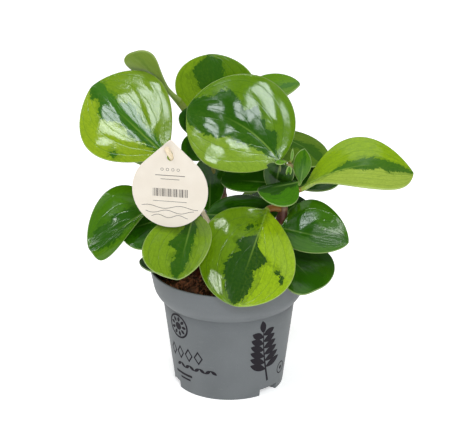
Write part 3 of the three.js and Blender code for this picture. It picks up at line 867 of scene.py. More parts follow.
def panel_gaps(leaf, panels, x, y):
    """The distance from each place to the nearest panel, below 0 inside it, and the way from it."""
    nearest = np.full(x.shape, FAR), np.zeros(x.shape), np.zeros(x.shape)
    for corners in panels:
        at, side = np.array(corners).T
        flat = np.stack([side * blade_widths(leaf, at, side), at * leaf_axes(leaf)[4]], 1)
        new = outline_gap(flat, x, y)
        nearer = new[0] < nearest[0]
        nearest = [np.where(nearer, a, b) for a, b in zip(new, nearest)]
    return nearest


def both_ends(values, axis):
    """The sum of the values at the two ends of each step along an axis."""
    return values[:-1] + values[1:] if axis == 0 else values[:, :-1] + values[:, 1:]


def shine(leaf, paints, u, s, width):
    """The rise that turns each panel, an outline of (u, s) corners, so that it mirrors the light to the
    eye. Round the panels the skin turns away, and far from them it only keeps off every light."""
    light, turning = paints["light"], paints["turning"]
    points, normals = blade_at(leaf, u, s, np.abs(s) * width)
    gap, away_x, away_y = panel_gaps(leaf, paints["shine"], s * width, u * leaf_axes(leaf)[4])
    side_way = unit_rows(np.gradient(points, axis=1) + 1e-9)
    long_way = np.cross(normals, side_way)
    long_way *= np.sign(np.sum(long_way * leaf_axes(leaf)[2], axis=-1, keepdims=True))
    away = unit_rows(side_way * away_x[..., None] + long_way * away_y[..., None] + 1e-9)
    bright = glints(light, points) + away * (DULL * np.clip(gap / 1.2, 0, 1))[..., None]
    plain = normals
    for other in (*MIRRORED, light):
        glint = glints(other, points)
        off = plain - glint
        far = np.linalg.norm(off, axis=-1, keepdims=True)
        plain = glint + off / far * np.maximum(far, DULL if other == light else 0.7 * DULL)
    share = np.clip((gap - turning / 4) / turning, 0, 1)[..., None]
    wanted = unit_rows(bright * (1 - share) + plain * share)
    # A place counts most inside a panel, less near one and least far from all.
    weight = np.where(gap < 0, 5, np.where(gap < 4, 1.5, 0.7))

    def wanted_step(axis):
        run = np.diff(points, axis=axis)
        middle = unit_rows(both_ends(wanted, axis))
        facing = np.sum(middle * both_ends(normals, axis) / 2, axis=-1)
        rise = -np.sum(run * middle, axis=-1) / facing
        return rise, np.linalg.norm(run, axis=-1) + 0.02, both_ends(weight, axis) / 2

    rise_u, long_u, weight_u = wanted_step(0)
    rise_s, long_s, weight_s = wanted_step(1)
    cell_u = np.pad(long_u, ((0, 1), (0, 0)), mode="edge")
    cell_s = np.pad(long_s, ((0, 0), (0, 1)), mode="edge")
    # The base is held where it is, and the rest hardly at all.
    hold = np.where(u < 0.06, 20, np.where(np.abs(s) > 0.97, 0.004, 1e-4))
    height = settle(rise_u, rise_s, weight_u * cell_s[:-1] / long_u, weight_s * cell_u[:, :-1] / long_s, hold)
    print(len(paints["shine"]), "highlights, rise", height.min().round(1), "to", height.max().round(1), "mm")
    return height


def relief(leaf, paints, u, s, width, number):
    """How far the skin rises from its plain shape, in mm. The plain part fades at the margin and the
    base. The part that shines is worked out for the top, and the underside gets the same rise."""
    rise = plain_relief(leaf, u, s, width, number)
    rise = rise * np.clip((1 - np.abs(s)) * width / 5, 0, 1) * np.clip(u / 0.12, 0, 1)
    if paints["shine"]:
        across = (u.shape[1] + 2) // 2
        top = shine(leaf, paints, u[:, :across], s[:, :across], width[:, :across])
        rise = 0.6 * rise + np.concatenate([top, top[:, -2:0:-1]], axis=1)
    return rise


# %% [markdown]
# Stalk and blade grow as one, so they are one closed skin of rings: round ones along the stalk, then
# ever wider and flatter ones. The thickness follows the distance to the margin, which rounds the
# margin over, and the stalk stays visible as a ridge under the blade.

# %% The leaf's skin
# The gap that keeps a stalk off its stem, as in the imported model, and the share of the leaf pattern's
# space that each leaf has for itself.
CLEARANCE = 0.35
APART = 37.0
# Where a stalk leaves its stem it is thicker by this share. It flows into the blade over this share of
# the blade's length. The margin is rounded over this width, and the groove on the midrib is this deep.
FOOT_SHARE, FLOW, ROUNDING, GROOVE = 0.35, 0.16, 1.1, 0.14
# Steps from the midrib to the margin, along the blade and along the stalk, for large and small leaves.
FINE, COARSE = (32, 60, 14), (16, 30, 8)


def stalk_line(leaf, count):
    """The stalk's centre line, from just outside the stem to the blade's base."""
    base = leaf_axes(leaf)[0]
    centre, way = stem_at(leaf["on"], leaf["at"])
    at_end = leaf["at"] >= STEMS[leaf["on"]][-1][2]
    leave = way if at_end else squared(base - centre, way)
    start = centre + leave * ((0 if at_end else STEM_RADIUS) + CLEARANCE)
    reach = 0.35 * np.linalg.norm(start - base)
    first = blade_point(leaf, 0.04)
    return bezier(start, start + leave * reach, base - unit_rows(first - base) * reach, base, count)


def leaf_skin(name, leaf, number, paints, finish):
    """A leaf as one closed skin, with the values that its finish reads stored on its points."""
    half_ring, sections, rings = FINE if max(leaf["half"]) > 15 else COARSE
    r, h = paints["stalk"], paints["thick"] / 2
    x = np.linspace(-1, 1, 2 * half_ring + 1)
    top = np.sign(x) * (0.35 * np.abs(x) + 0.65 * np.sin(math.pi * np.abs(x) / 2))
    s = np.concatenate([top, top[-2:0:-1]])
    face = np.concatenate([np.ones(len(top)), -np.ones(len(top) - 2)])
    round_part = np.sqrt(np.maximum(1 - s**2, 0))

    span = leaf_axes(leaf)[4]
    stalk = stalk_line(leaf, rings + 1)
    way = unit_rows(np.gradient(stalk, axis=0))
    up = squared(leaf_axes(leaf)[3], way)
    thicker = r * (1 + FOOT_SHARE * np.exp(-np.linspace(0, 9, rings + 1)))[:, None, None]
    ring = np.cross(way, up)[:, None] * s[:, None] + up[:, None] * (face * round_part)[:, None]
    stalk_rings = stalk[:, None] + thicker * ring

    u = (0.5 - 0.5 * np.cos(np.linspace(0, math.pi, sections + 2)))[1:-1]
    U, S = np.meshgrid(u, s, indexing="ij")
    F, C = (np.broadcast_to(v, U.shape) for v in (face, round_part))
    width = np.sqrt(blade_widths(leaf, U, S) ** 2 + (r * np.clip(1 - U / 0.3, 0, 1)) ** 2)
    out = np.abs(S) * width
    points, normals = blade_at(leaf, U, S, out)
    rim = np.minimum((1 - np.abs(S)) * width, (1 - U) * span + 0.3)
    flat = h * np.sqrt(1 - (1 - np.clip(rim / ROUNDING, 0, 1)) ** 2)
    blend = np.clip(1 - U / FLOW, 0, 1) ** 2
    depth = flat * (1 - blend) + r * C * blend
    ridge = np.exp(-((out / (r * 1.1)) ** 2)) * (1 - U) ** 1.3 * (1 - blend)
    groove = GROOVE * np.exp(-((out / ROUNDING) ** 2)) * np.clip(U / 0.1, 0, 1) * (1 - U) ** 0.5
    lift = relief(leaf, paints, U, S, width, number)
    shift = np.where(F > 0, depth + lift - groove, -depth + lift - 0.9 * r * ridge)
    blade = points + normals * shift[..., None]
    skin = [ring.reshape(-1, 3) for ring in (stalk_rings[:-1], blade)]
    points = np.vstack([*skin, stalk[0], blade_point(leaf, 1)])

    def all_points(values, at_stalk):
        """The blade's values with one for every point of the stalk, in the order of the points."""
        values = np.asarray(values, float).ravel()
        return np.concatenate([np.full(rings * len(s), float(at_stalk)), values, [at_stalk, values[-1]]])

    down = np.repeat(np.linspace(0, 1, rings + 1)[:-1], len(s))
    stalkness = np.concatenate([1 - down, np.zeros(U.size), [1, 0]])
    place = np.stack([all_points(np.sign(S) * out, 0), all_points(U * span, 0) - stalkness * 20,
                      np.full(len(points), APART * number)], 1)
    values = {"place": place, "rim": all_points(rim, 9), "stalk": stalkness, "under": all_points(F < 0, 0),
              "share": np.stack([all_points(U, 0), all_points(S, 0), all_points(width, r)], 1),
              "red": np.full(len(points), float(paints["red"])),
              "patch": all_points(patch_field(leaf, paints, U, S, width, number), -DEEPEST)}
    mix = 1 / (1 + np.exp(-np.clip(np.sign(S) * out / 0.8, -20, 20)))
    for key in ("pale", "deep"):
        two = zip(*(paint(colour)[:3] for colour in paints[key]))
        values[key] = np.stack([all_points(a * (1 - mix) + b * mix, a) for a, b in two], 1)
    piece = mesh_object(name + "_grown", points, closed_faces(rings + len(u), len(s)), values=values)
    return finished(piece, "leaf_" + leaf["tone"], name, material=finish)


# %% [markdown]
# Variegation: the dark green runs along the midrib and reaches out between the veins, and the rest of
# the blade is lime. On a mesh this is best kept as one number per point, the distance in millimetres
# inside the dark patch (negative outside). The material then frays that smooth edge with noise.
# The reach of the patch is given at a few places along the midrib, as a share of the half width, and
# so are the corners of the places that shine: u along the midrib first, then s across. On the folded
# young leaf and the young leaf behind it, the dark greens and the dark patch are painted shade.

# %% Where each leaf is dark and where it shines
def pairs(*numbers):
    """Pairs of u and s, given in hundredths."""
    return [(u / 100, s / 100) for u, s in zip(numbers[::2], numbers[1::2])]


# The distance to a patch's edge is kept up to this, in mm.
DEEPEST = 30
# Colours left and right of the midrib, then what is special about a leaf; spots are u, s and a radius.
PAINTS = {
    "leaf_upper_left": dict(pale=((143, 171, 30), (117, 148, 22)), deep=((46, 98, 15), (58, 110, 24)),
        spots=((0.39, -0.81, 2.6),), left=pairs(0, 10, 14, 15, 31, 21, 42, 24, 48, 14, 56, 16, 64, 26,
        72, 38, 79, 34, 83, 20, 88, 20, 93, 42, 97, 47, 100, 30), right=pairs(0, 10, 10, 29, 21, 25, 30, 20,
        40, 18, 50, 26, 56, 30, 65, 24, 71, 14, 80, 19, 88, 20, 91, 36, 95, 50, 100, 80),
        shine=(pairs(76, 18, 74, 29, 71, 38, 66, 43, 59, 40, 54, 33, 45, 18, 39, 15, 32, 24, 26, 19, 20, 15,
        12, 14, 24, 6, 45, 6, 57, 7, 68, 10), pairs(67, 58, 58, 51, 49, 45, 40, 38, 28, 26, 30, 41, 33, 56,
        36, 66, 43, 70, 56, 66), pairs(62, 83, 58, 90, 52, 93, 48, 86, 45, 71, 52, 76), pairs(80, -11,
        74, -8, 68, -11, 61, -17, 67, -30, 72, -31, 77, -24), pairs(69, -41, 62, -26, 57, -22, 48, -22,
        34, -25, 43, -38, 52, -45, 65, -66, 68, -55), pairs(61, -78, 57, -66, 50, -60, 49, -70, 56, -82))),
    "leaf_upper_centre": dict(pale=((132, 164, 46), (94, 132, 12)), deep=((44, 90, 9), (38, 84, 4)),
        left=pairs(0, 10, 11, 20, 25, 21, 36, 31, 45, 32, 54, 32, 60, 40, 67, 45, 84, 50, 91, 48, 100, 60),
        right=pairs(0, 10, 10, 15, 16, 29, 22, 39, 28, 22, 36, 34, 43, 44, 48, 45, 49, 24, 53, 30, 58, 39,
        64, 49, 70, 61, 77, 64, 79, 42, 91, 58, 100, 90), shine=(pairs(82, 19, 76, 24, 70, 18, 72, 2,
        83, 4), pairs(64, 34, 61, 38, 57, 33, 48, 10, 50, 7, 55, 8, 58, 14), pairs(58, 53, 58, 60, 54, 60,
        48, 50, 42, 33, 43, 23, 42, 10, 51, 25), pairs(57, 68, 54, 76, 53, 88, 48, 95, 45, 88, 36, 66,
        27, 53, 34, 48, 41, 49, 49, 62), pairs(95, -80, 92, -56, 86, -55, 93, -84), pairs(84, -35, 80, -24,
        71, -29, 65, -35, 66, -46, 70, -38), pairs(62, -34, 60, -21, 54, -19, 59, -36), pairs(64, -49,
        66, -66, 51, -65, 47, -75, 48, -92, 69, -94, 72, -76), pairs(48, -45, 45, -39, 34, -36, 40, -51,
        45, -52))),
    "leaf_top_back": dict(pale=((126, 162, 22), (98, 138, 16)), deep=((50, 96, 14), (50, 98, 16)),
        left=pairs(0, 20, 50, 30, 70, 45, 80, 55, 90, 42, 96, 10, 100, 0), right=pairs(0, 20, 50, 30,
        70, 32, 80, 45, 90, 62, 96, 30, 100, 0)),
    "leaf_top_right": dict(pale=((97, 142, 8), (95, 138, 8)), deep=((56, 110, 9),) * 2, reach=0.15),
    "leaf_top_left": dict(pale=((118, 140, 36),) * 2, deep=((78, 112, 26),) * 2, reach=0.1, stalk=2.8),
    "leaf_mid_left": dict(pale=((80, 124, 15), (70, 118, 7)), deep=((40, 86, 4), (40, 88, 4)),
        left=pairs(0, 30, 50, 50, 80, 50, 100, 20), right=pairs(0, 10, 28, 28, 50, 34, 68, 40, 80, 50,
        90, 40, 100, 0), light="front", shine=(pairs(99, 60, 91, 25, 73, 18, 62, 23, 54, 24, 54, 14, 70, 6,
        80, 1, 90, 4),)),
    "leaf_front_left": dict(pale=((116, 148, 27), (117, 151, 25)), deep=((42, 88, 10), (42, 86, 7)),
        left=pairs(5, 10, 20, 30, 35, 35, 60, 30, 80, 35, 90, 30, 100, 5), right=pairs(5, 15, 35, 25,
        50, 42, 56, 36, 61, 15, 70, 20, 85, 30, 97, 20)),
    "leaf_front_centre": dict(pale=((148, 181, 20), (103, 139, 9)), deep=((29, 68, 8), (31, 70, 8)),
        left=pairs(28, 0, 33, 5, 40, 15, 50, 36, 55, 30, 60, 16, 70, 23, 80, 28, 95, 25, 100, 0),
        right=pairs(26, 0, 33, 25, 40, 38, 45, 20, 48, 25, 55, 38, 63, 45, 72, 42, 80, 38, 95, 30, 100, 0),
        spots=((0.56, -0.65, 1.8), (0.6, -0.73, 1.0), (0.63, -0.8, 2.2), (0.15, 0.14, 1.4),
        (0.19, 0.2, 1.9), (0.23, 0.26, 2.2)), stalk=2.6, red=1, light="front", shine=(pairs(26, 96, 22, 92,
        21, 81, 25, 64, 38, 55, 34, 70, 34, 85), pairs(81, 85, 76, 73, 77, 61, 80, 51, 88, 41, 95, 60,
        95, 90, 90, 84))),
    "leaf_mid_right": dict(pale=((60, 108, 8),) * 2, deep=((40, 88, 5),) * 2, reach=0.4, turning=0.4,
        shine=(pairs(21, -39, 26, -57, 31, -68, 42, -70, 51, -72, 66, -82, 69, -74, 66, -66, 59, -57,
        51, -50, 45, -39, 38, -26, 32, -9, 28, -5, 24, -16),)),
    "leaf_low_right": dict(pale=((50, 98, 6),) * 2, deep=((38, 84, 5),) * 2, reach=0.4),
    "leaf_long_right": dict(pale=((140, 174, 14), (168, 192, 70)), deep=((60, 108, 18), (56, 104, 18)),
        stalk=1.9, red=0.4, left=pairs(20, 0, 30, 10, 40, 25, 50, 22, 60, 30, 80, 32, 100, 30),
        right=pairs(30, 0, 40, 5, 60, 20, 72, 8, 78, 20, 90, 15, 100, 10)),
    "leaf_back_right": dict(pale=((98, 130, 30), (90, 126, 24)), deep=((54, 96, 15),) * 2, reach=0.3),
    # Painted shade: this young leaf is darker all over than the other young leaves, and its dark patch and
    # its whole dark right half stand for the shade in the hollow of its fold.
    "leaf_young_folded": dict(pale=((66, 122, 10), (40, 84, 8)), deep=((34, 72, 8), (24, 56, 6)), stalk=1.2,
        left=pairs(0, 30, 30, 15, 60, 40, 90, 20, 100, 0), right=pairs(0, 100, 100, 100)),
    # Painted shade: this young leaf lies in deep shade and is painted nearly black-green all over.
    "leaf_young_behind": dict(pale=((40, 76, 10),) * 2, deep=((26, 56, 8),) * 2, reach=0.4),
    "leaf_young_upright": dict(pale=((76, 124, 10), (84, 132, 14)), deep=((50, 100, 8),) * 2, reach=0.25),
}
# What a leaf has unless it has its own: the stalk's radius and the blade's thickness in mm, how red the
# stalk is, the light that its panels mirror, and how wide the skin turns away round them.
GROWN = dict(stalk=1.6, thick=1.7, red=0, spots=(), shine=(), light="window", turning=4)
PLAIN = {
    "lime": dict(GROWN, pale=((112, 154, 16),) * 2, deep=((44, 94, 7),) * 2, reach=0.35),
    "dark": dict(GROWN, pale=((46, 98, 4),) * 2, deep=((32, 78, 4),) * 2, reach=0.4),
    "young": dict(GROWN, pale=((106, 156, 25),) * 2, deep=((68, 124, 18),) * 2, reach=0.25, stalk=0.9,
                  thick=1.2),
}


def patch_field(leaf, paints, u, s, width, number):
    """The distance in mm inside the dark patch."""
    if "left" in paints:
        reach = by_side(s, (paints["left"], paints["right"]), lambda stops: np.interp(u, *zip(*stops)))
    else:
        a, b = np.random.default_rng(number).uniform(0, 6.28, 2)
        reach = paints["reach"] * (1 + 0.4 * np.sin(9 * u + np.where(s < 0, a, b)))
    field = (reach - np.abs(s)) * width
    for at, side, radius in paints["spots"]:
        wide = blade_widths(leaf, np.array([at]), np.array([side]))[0]
        away = np.hypot((u - at) * leaf_axes(leaf)[4], s * width - side * wide)
        field = np.maximum(field, radius - away)
    return np.clip(field, -DEEPEST, DEEPEST)


print(len(PAINTS), "leaves have a pattern of their own")

# %% [markdown]
# The greens lie under a clear wax, so the gloss stays even while the colour changes: streaks and
# mottling, a half tone round the dark patch, a faint net of veins, a pale midrib and margin, and
# stalks that turn red. The side veins are also painted darker, partly their own tone and partly
# painted shade in their sunken lines. All leaves share this pattern, so it is one node group with
# named inputs, and each tone of leaf sets its own fray and half tone.

# %% The waxy leaf finish
def leaf_pattern():
    """The pattern that all leaf finishes share: its colour, its roughness and its fine relief in mm."""
    tree, given, end = new_group("leaf_pattern", {"Fray": 7.0, "Halo": 0.5},
                                 {"Colour": tuple, "Roughness": float, "Height": float})
    place = stored(tree, "place", "Vector")
    aside, along, number = beside("ShaderNodeSeparateXYZ", place).outputs
    u, s, width = beside("ShaderNodeSeparateXYZ", stored(tree, "share", "Vector")).outputs
    pale, deep = stored(tree, "pale", "Color"), stored(tree, "deep", "Color")
    under, stalk = stored(tree, "under"), stored(tree, "stalk")
    out = maths("ABSOLUTE", s)

    slant = times(times(out, -26, along), 0.3)
    fingers = beside("ShaderNodeCombineXYZ", slant, times(aside, 0.06), number).outputs[0]
    edge = stored(tree, "patch")
    fray = given["Fray"]
    for noise, much in ((cloud(fingers, 1, 2, 0.6), fray), (cloud(place, 0.35, 3, 0.65), fray),
                        (cloud(place, 1.4, 2, 0.6), 2.4)):
        edge = times(less(noise, 0.5), much, edge)
    other = cloud(vectors("ADD", place, (90, 40, 11)), 0.12, 3, 0.6)
    halo = step(times(less(other, 0.5), 22, edge), -2.6, -1.2)
    mottle = cloud(place, 0.5, 3, 0.6)
    streaks = cloud(place, (0.8, 0.13, 1), 3, 0.6)
    pale = mixed(step(streaks, 0.42, 0.68, 0, 0.4), pale, mixed(0.45, pale, deep))
    pale = mixed(step(mottle, 0.3, 0.75, 0, 0.4), pale, mixed(0.35, pale, deep))
    deep = mixed(step(mottle, 0.35, 0.75, 0, 0.35), deep, mixed(0.3, deep, pale))
    colour = mixed(times(halo, given["Halo"]), pale, mixed(0.5, pale, deep))
    colour = mixed(step(edge, -0.2, 0.25), colour, deep)

    lines = None
    wander = times(cloud(place, 0.07), 0.09, less(out, 0.045))
    for end_at, start_at, turn in VEINS:
        run = maths("MAXIMUM", less(u, start_at), 0)
        line = times(maths("EXPONENT", maths("DIVIDE", run, -turn)), -end_at, end_at)
        away = times(maths("ABSOLUTE", less(wander, line)), width)
        line = times(step(away, 0.5, 0.1), step(run, 0, 0.04))
        lines = line if lines is None else maths("MAXIMUM", lines, line)
    net = beside("ShaderNodeTexVoronoi", place, feature="DISTANCE_TO_EDGE")
    net.inputs["Scale"].default_value = 0.28
    cells = step(net.outputs["Distance"], 0.09, 0.01)
    # The side vein lines darken the colour: partly the veins' own tone, partly painted shade in their sunken
    # grooves.
    colour = mixed(maths("MAXIMUM", times(lines, 0.34), times(cells, 0.14)), colour, deep)
    midrib = times(step(maths("ABSOLUTE", aside), 0.9, 0.2), step(u, 0.75, 0.2, 0, 0.5))
    colour = mixed(midrib, colour, mixed(0.35, pale, (170, 205, 110)))
    colour = mixed(step(stored(tree, "rim"), 0.9, 0.25, 0, 0.45), colour, (178, 196, 128))
    colour = mixed(times(under, 0.55), colour, mixed(0.5, pale, (132, 160, 84)))
    colour = mixed(step(stalk, 0, 0.12), colour, mixed(0.5, pale, (150, 160, 92)))
    redder = times(stalk, times(stored(tree, "red"), 3, 1))
    join(mixed(step(redder, 0.45, 1.05, 0, 0.8), colour, (138, 66, 40)), end["Colour"])
    join(times(under, 0.15, times(mottle, 0.08, 0.1)), end["Roughness"])
    height = times(lines, -0.03, times(cells, -0.006))
    for swell, high in ((cloud(place, 0.35, 3, 0.6), 0.06), (streaks, 0.012), (cloud(place, 0.9), 0.008)):
        height = times(swell, high, height)
    join(height, end["Height"])
    return tree


pattern = leaf_pattern()


def leaf_finish(name, fray, halo):
    made, tree, shader = new_material(name, specular=0.25)
    got = group_in(tree, pattern, Fray=fray, Halo=halo)
    join(got["Colour"], shader["Base Color"])
    join(got["Roughness"], shader["Roughness"])
    bump(got["Height"], shader["Normal"])
    return made


FINISHES = {tone: leaf_finish(f"leaf_{tone}_waxy", fray, halo)
            for tone, fray, halo in (("lime", 7.0, 0.6), ("dark", 9.0, 0.5), ("young", 4.0, 0.4))}
print("leaf finishes:", ", ".join(FINISHES))

# %% [markdown]
# Every leaf now takes its place, its pattern and its tone, in the order of the list. Small leaves get
# fewer rings, which keeps the whole plant light.

# %% Grow the leaves
triangles = 0
for number, (name, leaf) in enumerate(LEAVES.items()):
    tone = leaf["tone"]
    piece = leaf_skin(name, leaf, number, {**PLAIN[tone], **PAINTS.get(name, {})}, FINISHES[tone])
    triangles += 2 * len(piece.data.polygons)
print(len(LEAVES), "leaves,", triangles, "triangles")

# %% [markdown]
# The card tag is cut from stiff card in the shape of a drop, with a punched hole. Its outline is a
# circle that runs in two straight lines to a blunt point. A filled curve with a little depth and a
# tiny bevel gives the crisp cut edge. The stick is a plain round of pale wood, pointed at its foot.

# %% The tag's place and outline
TAG = dict(centre=(-43, -46, 173.3), radius=28.2, point=38.5, blunt=1.2, thick=0.6, bevel=0.07, lean=5,
           roll=10.8, hole=24.6, hole_radius=2.5, stick_at=26.3)
STICK = dict(foot=(15, 25, 60), radius=1.8, beyond=8, pointed=6, tip=0.6, bevel=0.5)
tag_turn = Euler((math.radians(90 - TAG["lean"]), 0, math.radians(-TAG["roll"]))).to_matrix().to_4x4()
tag_place = Matrix.Translation(Vector(TAG["centre"]) * MM) @ tag_turn
print("tag:", TAG["radius"] * 2, "by", TAG["radius"] + TAG["point"], "mm")


def arc(x, y, radius, start, end, count):
    turn = np.linspace(start, end, count)
    return np.stack([x + radius * np.cos(turn), y + radius * np.sin(turn)], 1)


def drop_outline():
    radius, point, blunt = TAG["radius"], TAG["point"], TAG["blunt"]
    touch = math.acos(radius / point)
    t = np.linspace(0, 1, 9)
    nose = np.stack([blunt * (2 * t - 1), point - blunt + 2 * blunt * t * (1 - t)], 1)
    return np.vstack([arc(0, 0, radius, math.pi / 2 - touch, touch - 1.5 * math.pi, 97), nose])


def flat_card(name, outlines, thick, bevel):
    """A filled curve with depth, made a mesh."""
    curve = bpy.data.curves.new(name, "CURVE")
    curve.dimensions, curve.fill_mode = "2D", "BOTH"
    curve.extrude, curve.bevel_depth, curve.bevel_resolution = (thick / 2 - bevel) * MM, bevel * MM, 1
    curve.offset = -bevel * MM
    for line in outlines:
        spline = curve.splines.new("POLY")
        spline.points.add(len(line) - 1)
        flat = np.column_stack([line * MM, np.zeros(len(line)), np.ones(len(line))])
        spline.points.foreach_set("co", flat.ravel())
        spline.use_cyclic_u = True
    source = in_scene(name + "_curve", curve)
    mesh = as_mesh(source)
    bpy.data.objects.remove(source)
    return in_scene(name, mesh)


# %% [markdown]
# The stick passes through the hole in the card and down into the soil. Its fibres run along it,
# whichever way it leans, so the mesh stores where each point was before the stick was tilted. The
# card is matt, with a hint of fibre, and is bored where the stick goes through.

# %% Tag and stick
def stick_body(name, grow=0.0, sides=28):
    through = tag_place @ Vector((0, TAG["stick_at"] * MM, 0)) / MM
    foot = Vector(STICK["foot"])
    way, long = (through - foot).normalized(), (through - foot).length + STICK["beyond"]
    wide, bevel, pointed = STICK["radius"] + grow, STICK["bevel"], STICK["pointed"]
    line = [(0, -grow), (STICK["tip"] + grow, -grow), (wide - 0.1, pointed - 0.3), (wide, pointed + 0.3)]
    line += [(wide, h) for h in np.linspace(pointed + 6, long - 4, 30)]
    line += [(wide, long - bevel), (wide - 0.15, long - 0.12), (wide - bevel, long + grow), (0, long + grow)]
    body = turned(name, line, sides)
    turn = Vector((0, 0, 1)).rotation_difference(way).to_matrix().to_4x4()
    flat = np.array([v.co[:] for v in body.data.vertices], np.float32) / MM
    body.data.attributes.new("grain", "FLOAT_VECTOR", "POINT").data.foreach_set("vector", flat.ravel())
    body.data.transform(Matrix.Translation(foot * MM) @ turn)
    return body


def card_paper():
    made, tree, shader = new_material("cream_card", roughness=0.85, specular=0.25)
    where = on_object(tree)
    fibres = cloud(where, (1400, 900, 500), 3, 0.6)
    colour = mixed(step(cloud(where, 60), 0.3, 0.7), (228, 218, 203), (233, 224, 210))
    join(mixed(step(fibres, 0.6, 0.78, 0, 0.35), colour, (214, 202, 186)), shader["Base Color"])
    bump(times(fibres, 0.03), shader["Normal"])
    return made


def pale_wood():
    made, tree, shader = new_material("pale_wood", roughness=0.6)
    grain = stored(tree, "grain", "Vector")
    fibres = cloud(grain, (3.2, 3.2, 0.16), 3, 0.6)
    colour = mixed(step(fibres, 0.3, 0.7), (247, 232, 204), (228, 208, 170))
    pores = step(cloud(grain, (9, 9, 0.5)), 0.62, 0.72, 0, 0.4)
    join(mixed(pores, colour, (186, 150, 104)), shader["Base Color"])
    bump(times(fibres, 0.15), shader["Normal"])
    return made


hole_edge = arc(0, TAG["hole"], TAG["hole_radius"], 0, math.tau, 41)[:-1]
tag = flat_card("tag_card", [drop_outline(), hole_edge], TAG["thick"], TAG["bevel"])
tag.data.transform(tag_place)
cut(tag, [stick_body("tag_bore", 0.3, 24)])
finished(tag, "card", "plant_tag", material=card_paper())
stick = stick_body("wooden_stick")
stick.data.set_sharp_from_angle(angle=math.radians(40))
finished(stick, "wood", "tag_stick", material=pale_wood())
print("tag faces:", len(tag.data.polygons), "stick faces:", len(stick.data.polygons))

# %% [markdown]
# The card and the pot carry simple printed shapes that say nothing: bars, rings, waves, lozenges,
# small leaves, a flower badge and a sprig. Ink has almost no thickness, so each shape is a thin closed
# strip of faces that lies just on its surface. A strip is given by pairs of points, its left and its
# right edge, and a function that puts such flat points onto the card or round the pot.

# %% Printed strips
def ink_strips(name, strips, onto, finish, slot_name, skin=(0.015, 0.05)):
    """Closed thin strips. Each strip is a list of (left, right) points on the flat drawing."""
    points, faces = [], []
    for strip in strips:
        a, n = len(points), len(strip)
        b = a + 2 * n
        for height in skin:
            points += [onto(*flat, height) for pair in strip for flat in pair]
        for p in range(0, 2 * n - 2, 2):
            q = p + 2
            faces += [(b + p, b + p + 1, b + q + 1, b + q), (a + p, a + q, a + q + 1, a + p + 1),
                      (a + p, b + p, b + q, a + q), (a + p + 1, a + q + 1, b + q + 1, b + p + 1)]
        e = 2 * n - 2
        faces += [(a, a + 1, b + 1, b), (a + e, b + e, b + e + 1, a + e + 1)]
    made = mesh_object(name, points, faces, smooth=False)
    shape = bmesh.new()
    shape.from_mesh(made.data)
    bmesh.ops.recalc_face_normals(shape, faces=shape.faces)
    shape.to_mesh(made.data)
    shape.free()
    return finished(made, slot_name, material=finish)


def bar(x, y, wide, high, parts=2):
    across = np.linspace(x - wide / 2, x + wide / 2, parts)
    return [((at, y - high / 2), (at, y + high / 2)) for at in across]


def ring_strip(x, y, radius, line, count=41):
    return list(zip(*(arc(x, y, r, 0, math.tau, count) for r in (radius, radius - line))))


def ribbon(points, widths):
    """A strip along a flat line of points with a half width at each."""
    points = np.array(points, float)
    way = unit_rows(np.gradient(points, axis=0))
    side = np.stack([-way[:, 1], way[:, 0]], 1) * np.array(widths)[:, None]
    return list(zip(points + side, points - side))


def ink(name, colour, base, worn):
    """Printing ink that the colour of its ground shows through in small worn spots."""
    made, tree, shader = new_material(name, roughness=0.7, specular=0.15)
    thin = step(cloud(on_object(tree), 1100, 3, 0.7), 0.6, 0.75, 0, worn)
    join(mixed(thin, colour, base), shader["Base Color"])
    return made


# %% [markdown]
# The card's print is small and grey: a row of bars, thin rules, three waves and four rings.

# %% Print on the card
def on_card(x, y, height):
    return tag_place @ Vector((x * MM, y * MM, (TAG["thick"] / 2 + height) * MM)) / MM


card_ink = ink("card_ink", (92, 88, 84), (236, 227, 214), 0.35)
bars = [bar(-12.5 + 1.15 * k, -2, 0.3 + 0.16 * (k * 5 % 4), 6) for k in range(23)]
rules = [bar(0, 11, 22, 0.45), bar(0, 8.2, 14, 0.35), bar(0, -8.6, 25, 0.3)]
t = np.linspace(-1, 1, 41)
waves = [ribbon(np.stack([wide * t, low + 1.1 * np.sin(5.5 * t + low)], 1), [0.17] * len(t))
         for wide, low in ((21, -13), (18, -16.5), (13.5, -20))]
beads = [ring_strip(-6 + 4 * k, 15.5, 1.1, 0.28, 21) for k in range(4)]
ink_strips("card_print", bars + rules + waves + beads, on_card, card_ink, "card")
print("card print:", len(bars + rules + waves + beads), "strips")

# %% [markdown]
# The pot's print is black and bends round the tapered wall. One function turns flat places
# into places on the wall, and every shape goes through it.

# %% Print on the pot
def on_wall(turn):
    """Puts a flat drawing round the pot, with its middle at an angle from the front, to the right."""
    def place(x, y, height):
        radius = POT["foot"] + (POT["neck"] - POT["foot"]) * y / POT["neck_at"] + height
        angle = math.radians(turn - 90) + x / radius
        return Vector((radius * math.cos(angle), radius * math.sin(angle), y))
    return place


def leaf_mark(x, y, aim, long, wide):
    t, a = np.linspace(0, 1, 13), math.radians(aim)
    spine = np.stack([x + long * t * math.cos(a), y + long * t * math.sin(a)], 1)
    return ribbon(spine, wide * np.sin(math.pi * t) ** 0.8 + 0.02)


def lozenge(x, y, wide, high, line):
    """The outline of a lozenge as one closed strip."""
    t = np.arange(9) * math.tau / 8
    reach = 1 / (np.abs(np.cos(t)) + np.abs(np.sin(t)))
    return list(zip(*(np.stack([x + (wide - inset) * reach * np.cos(t),
                                y + (high - 1.5 * inset) * reach * np.sin(t)], 1) for inset in (0, line))))


POT_SKIN = (0.02, 0.08)
pot_ink = ink("pot_ink", (34, 30, 36), (110, 110, 110), 0.15)


def sprig_at(h):
    """A point of the sprig's bent stalk, this far above its foot."""
    return 4 - 8 * math.sin(0.032 * h), 12 + h


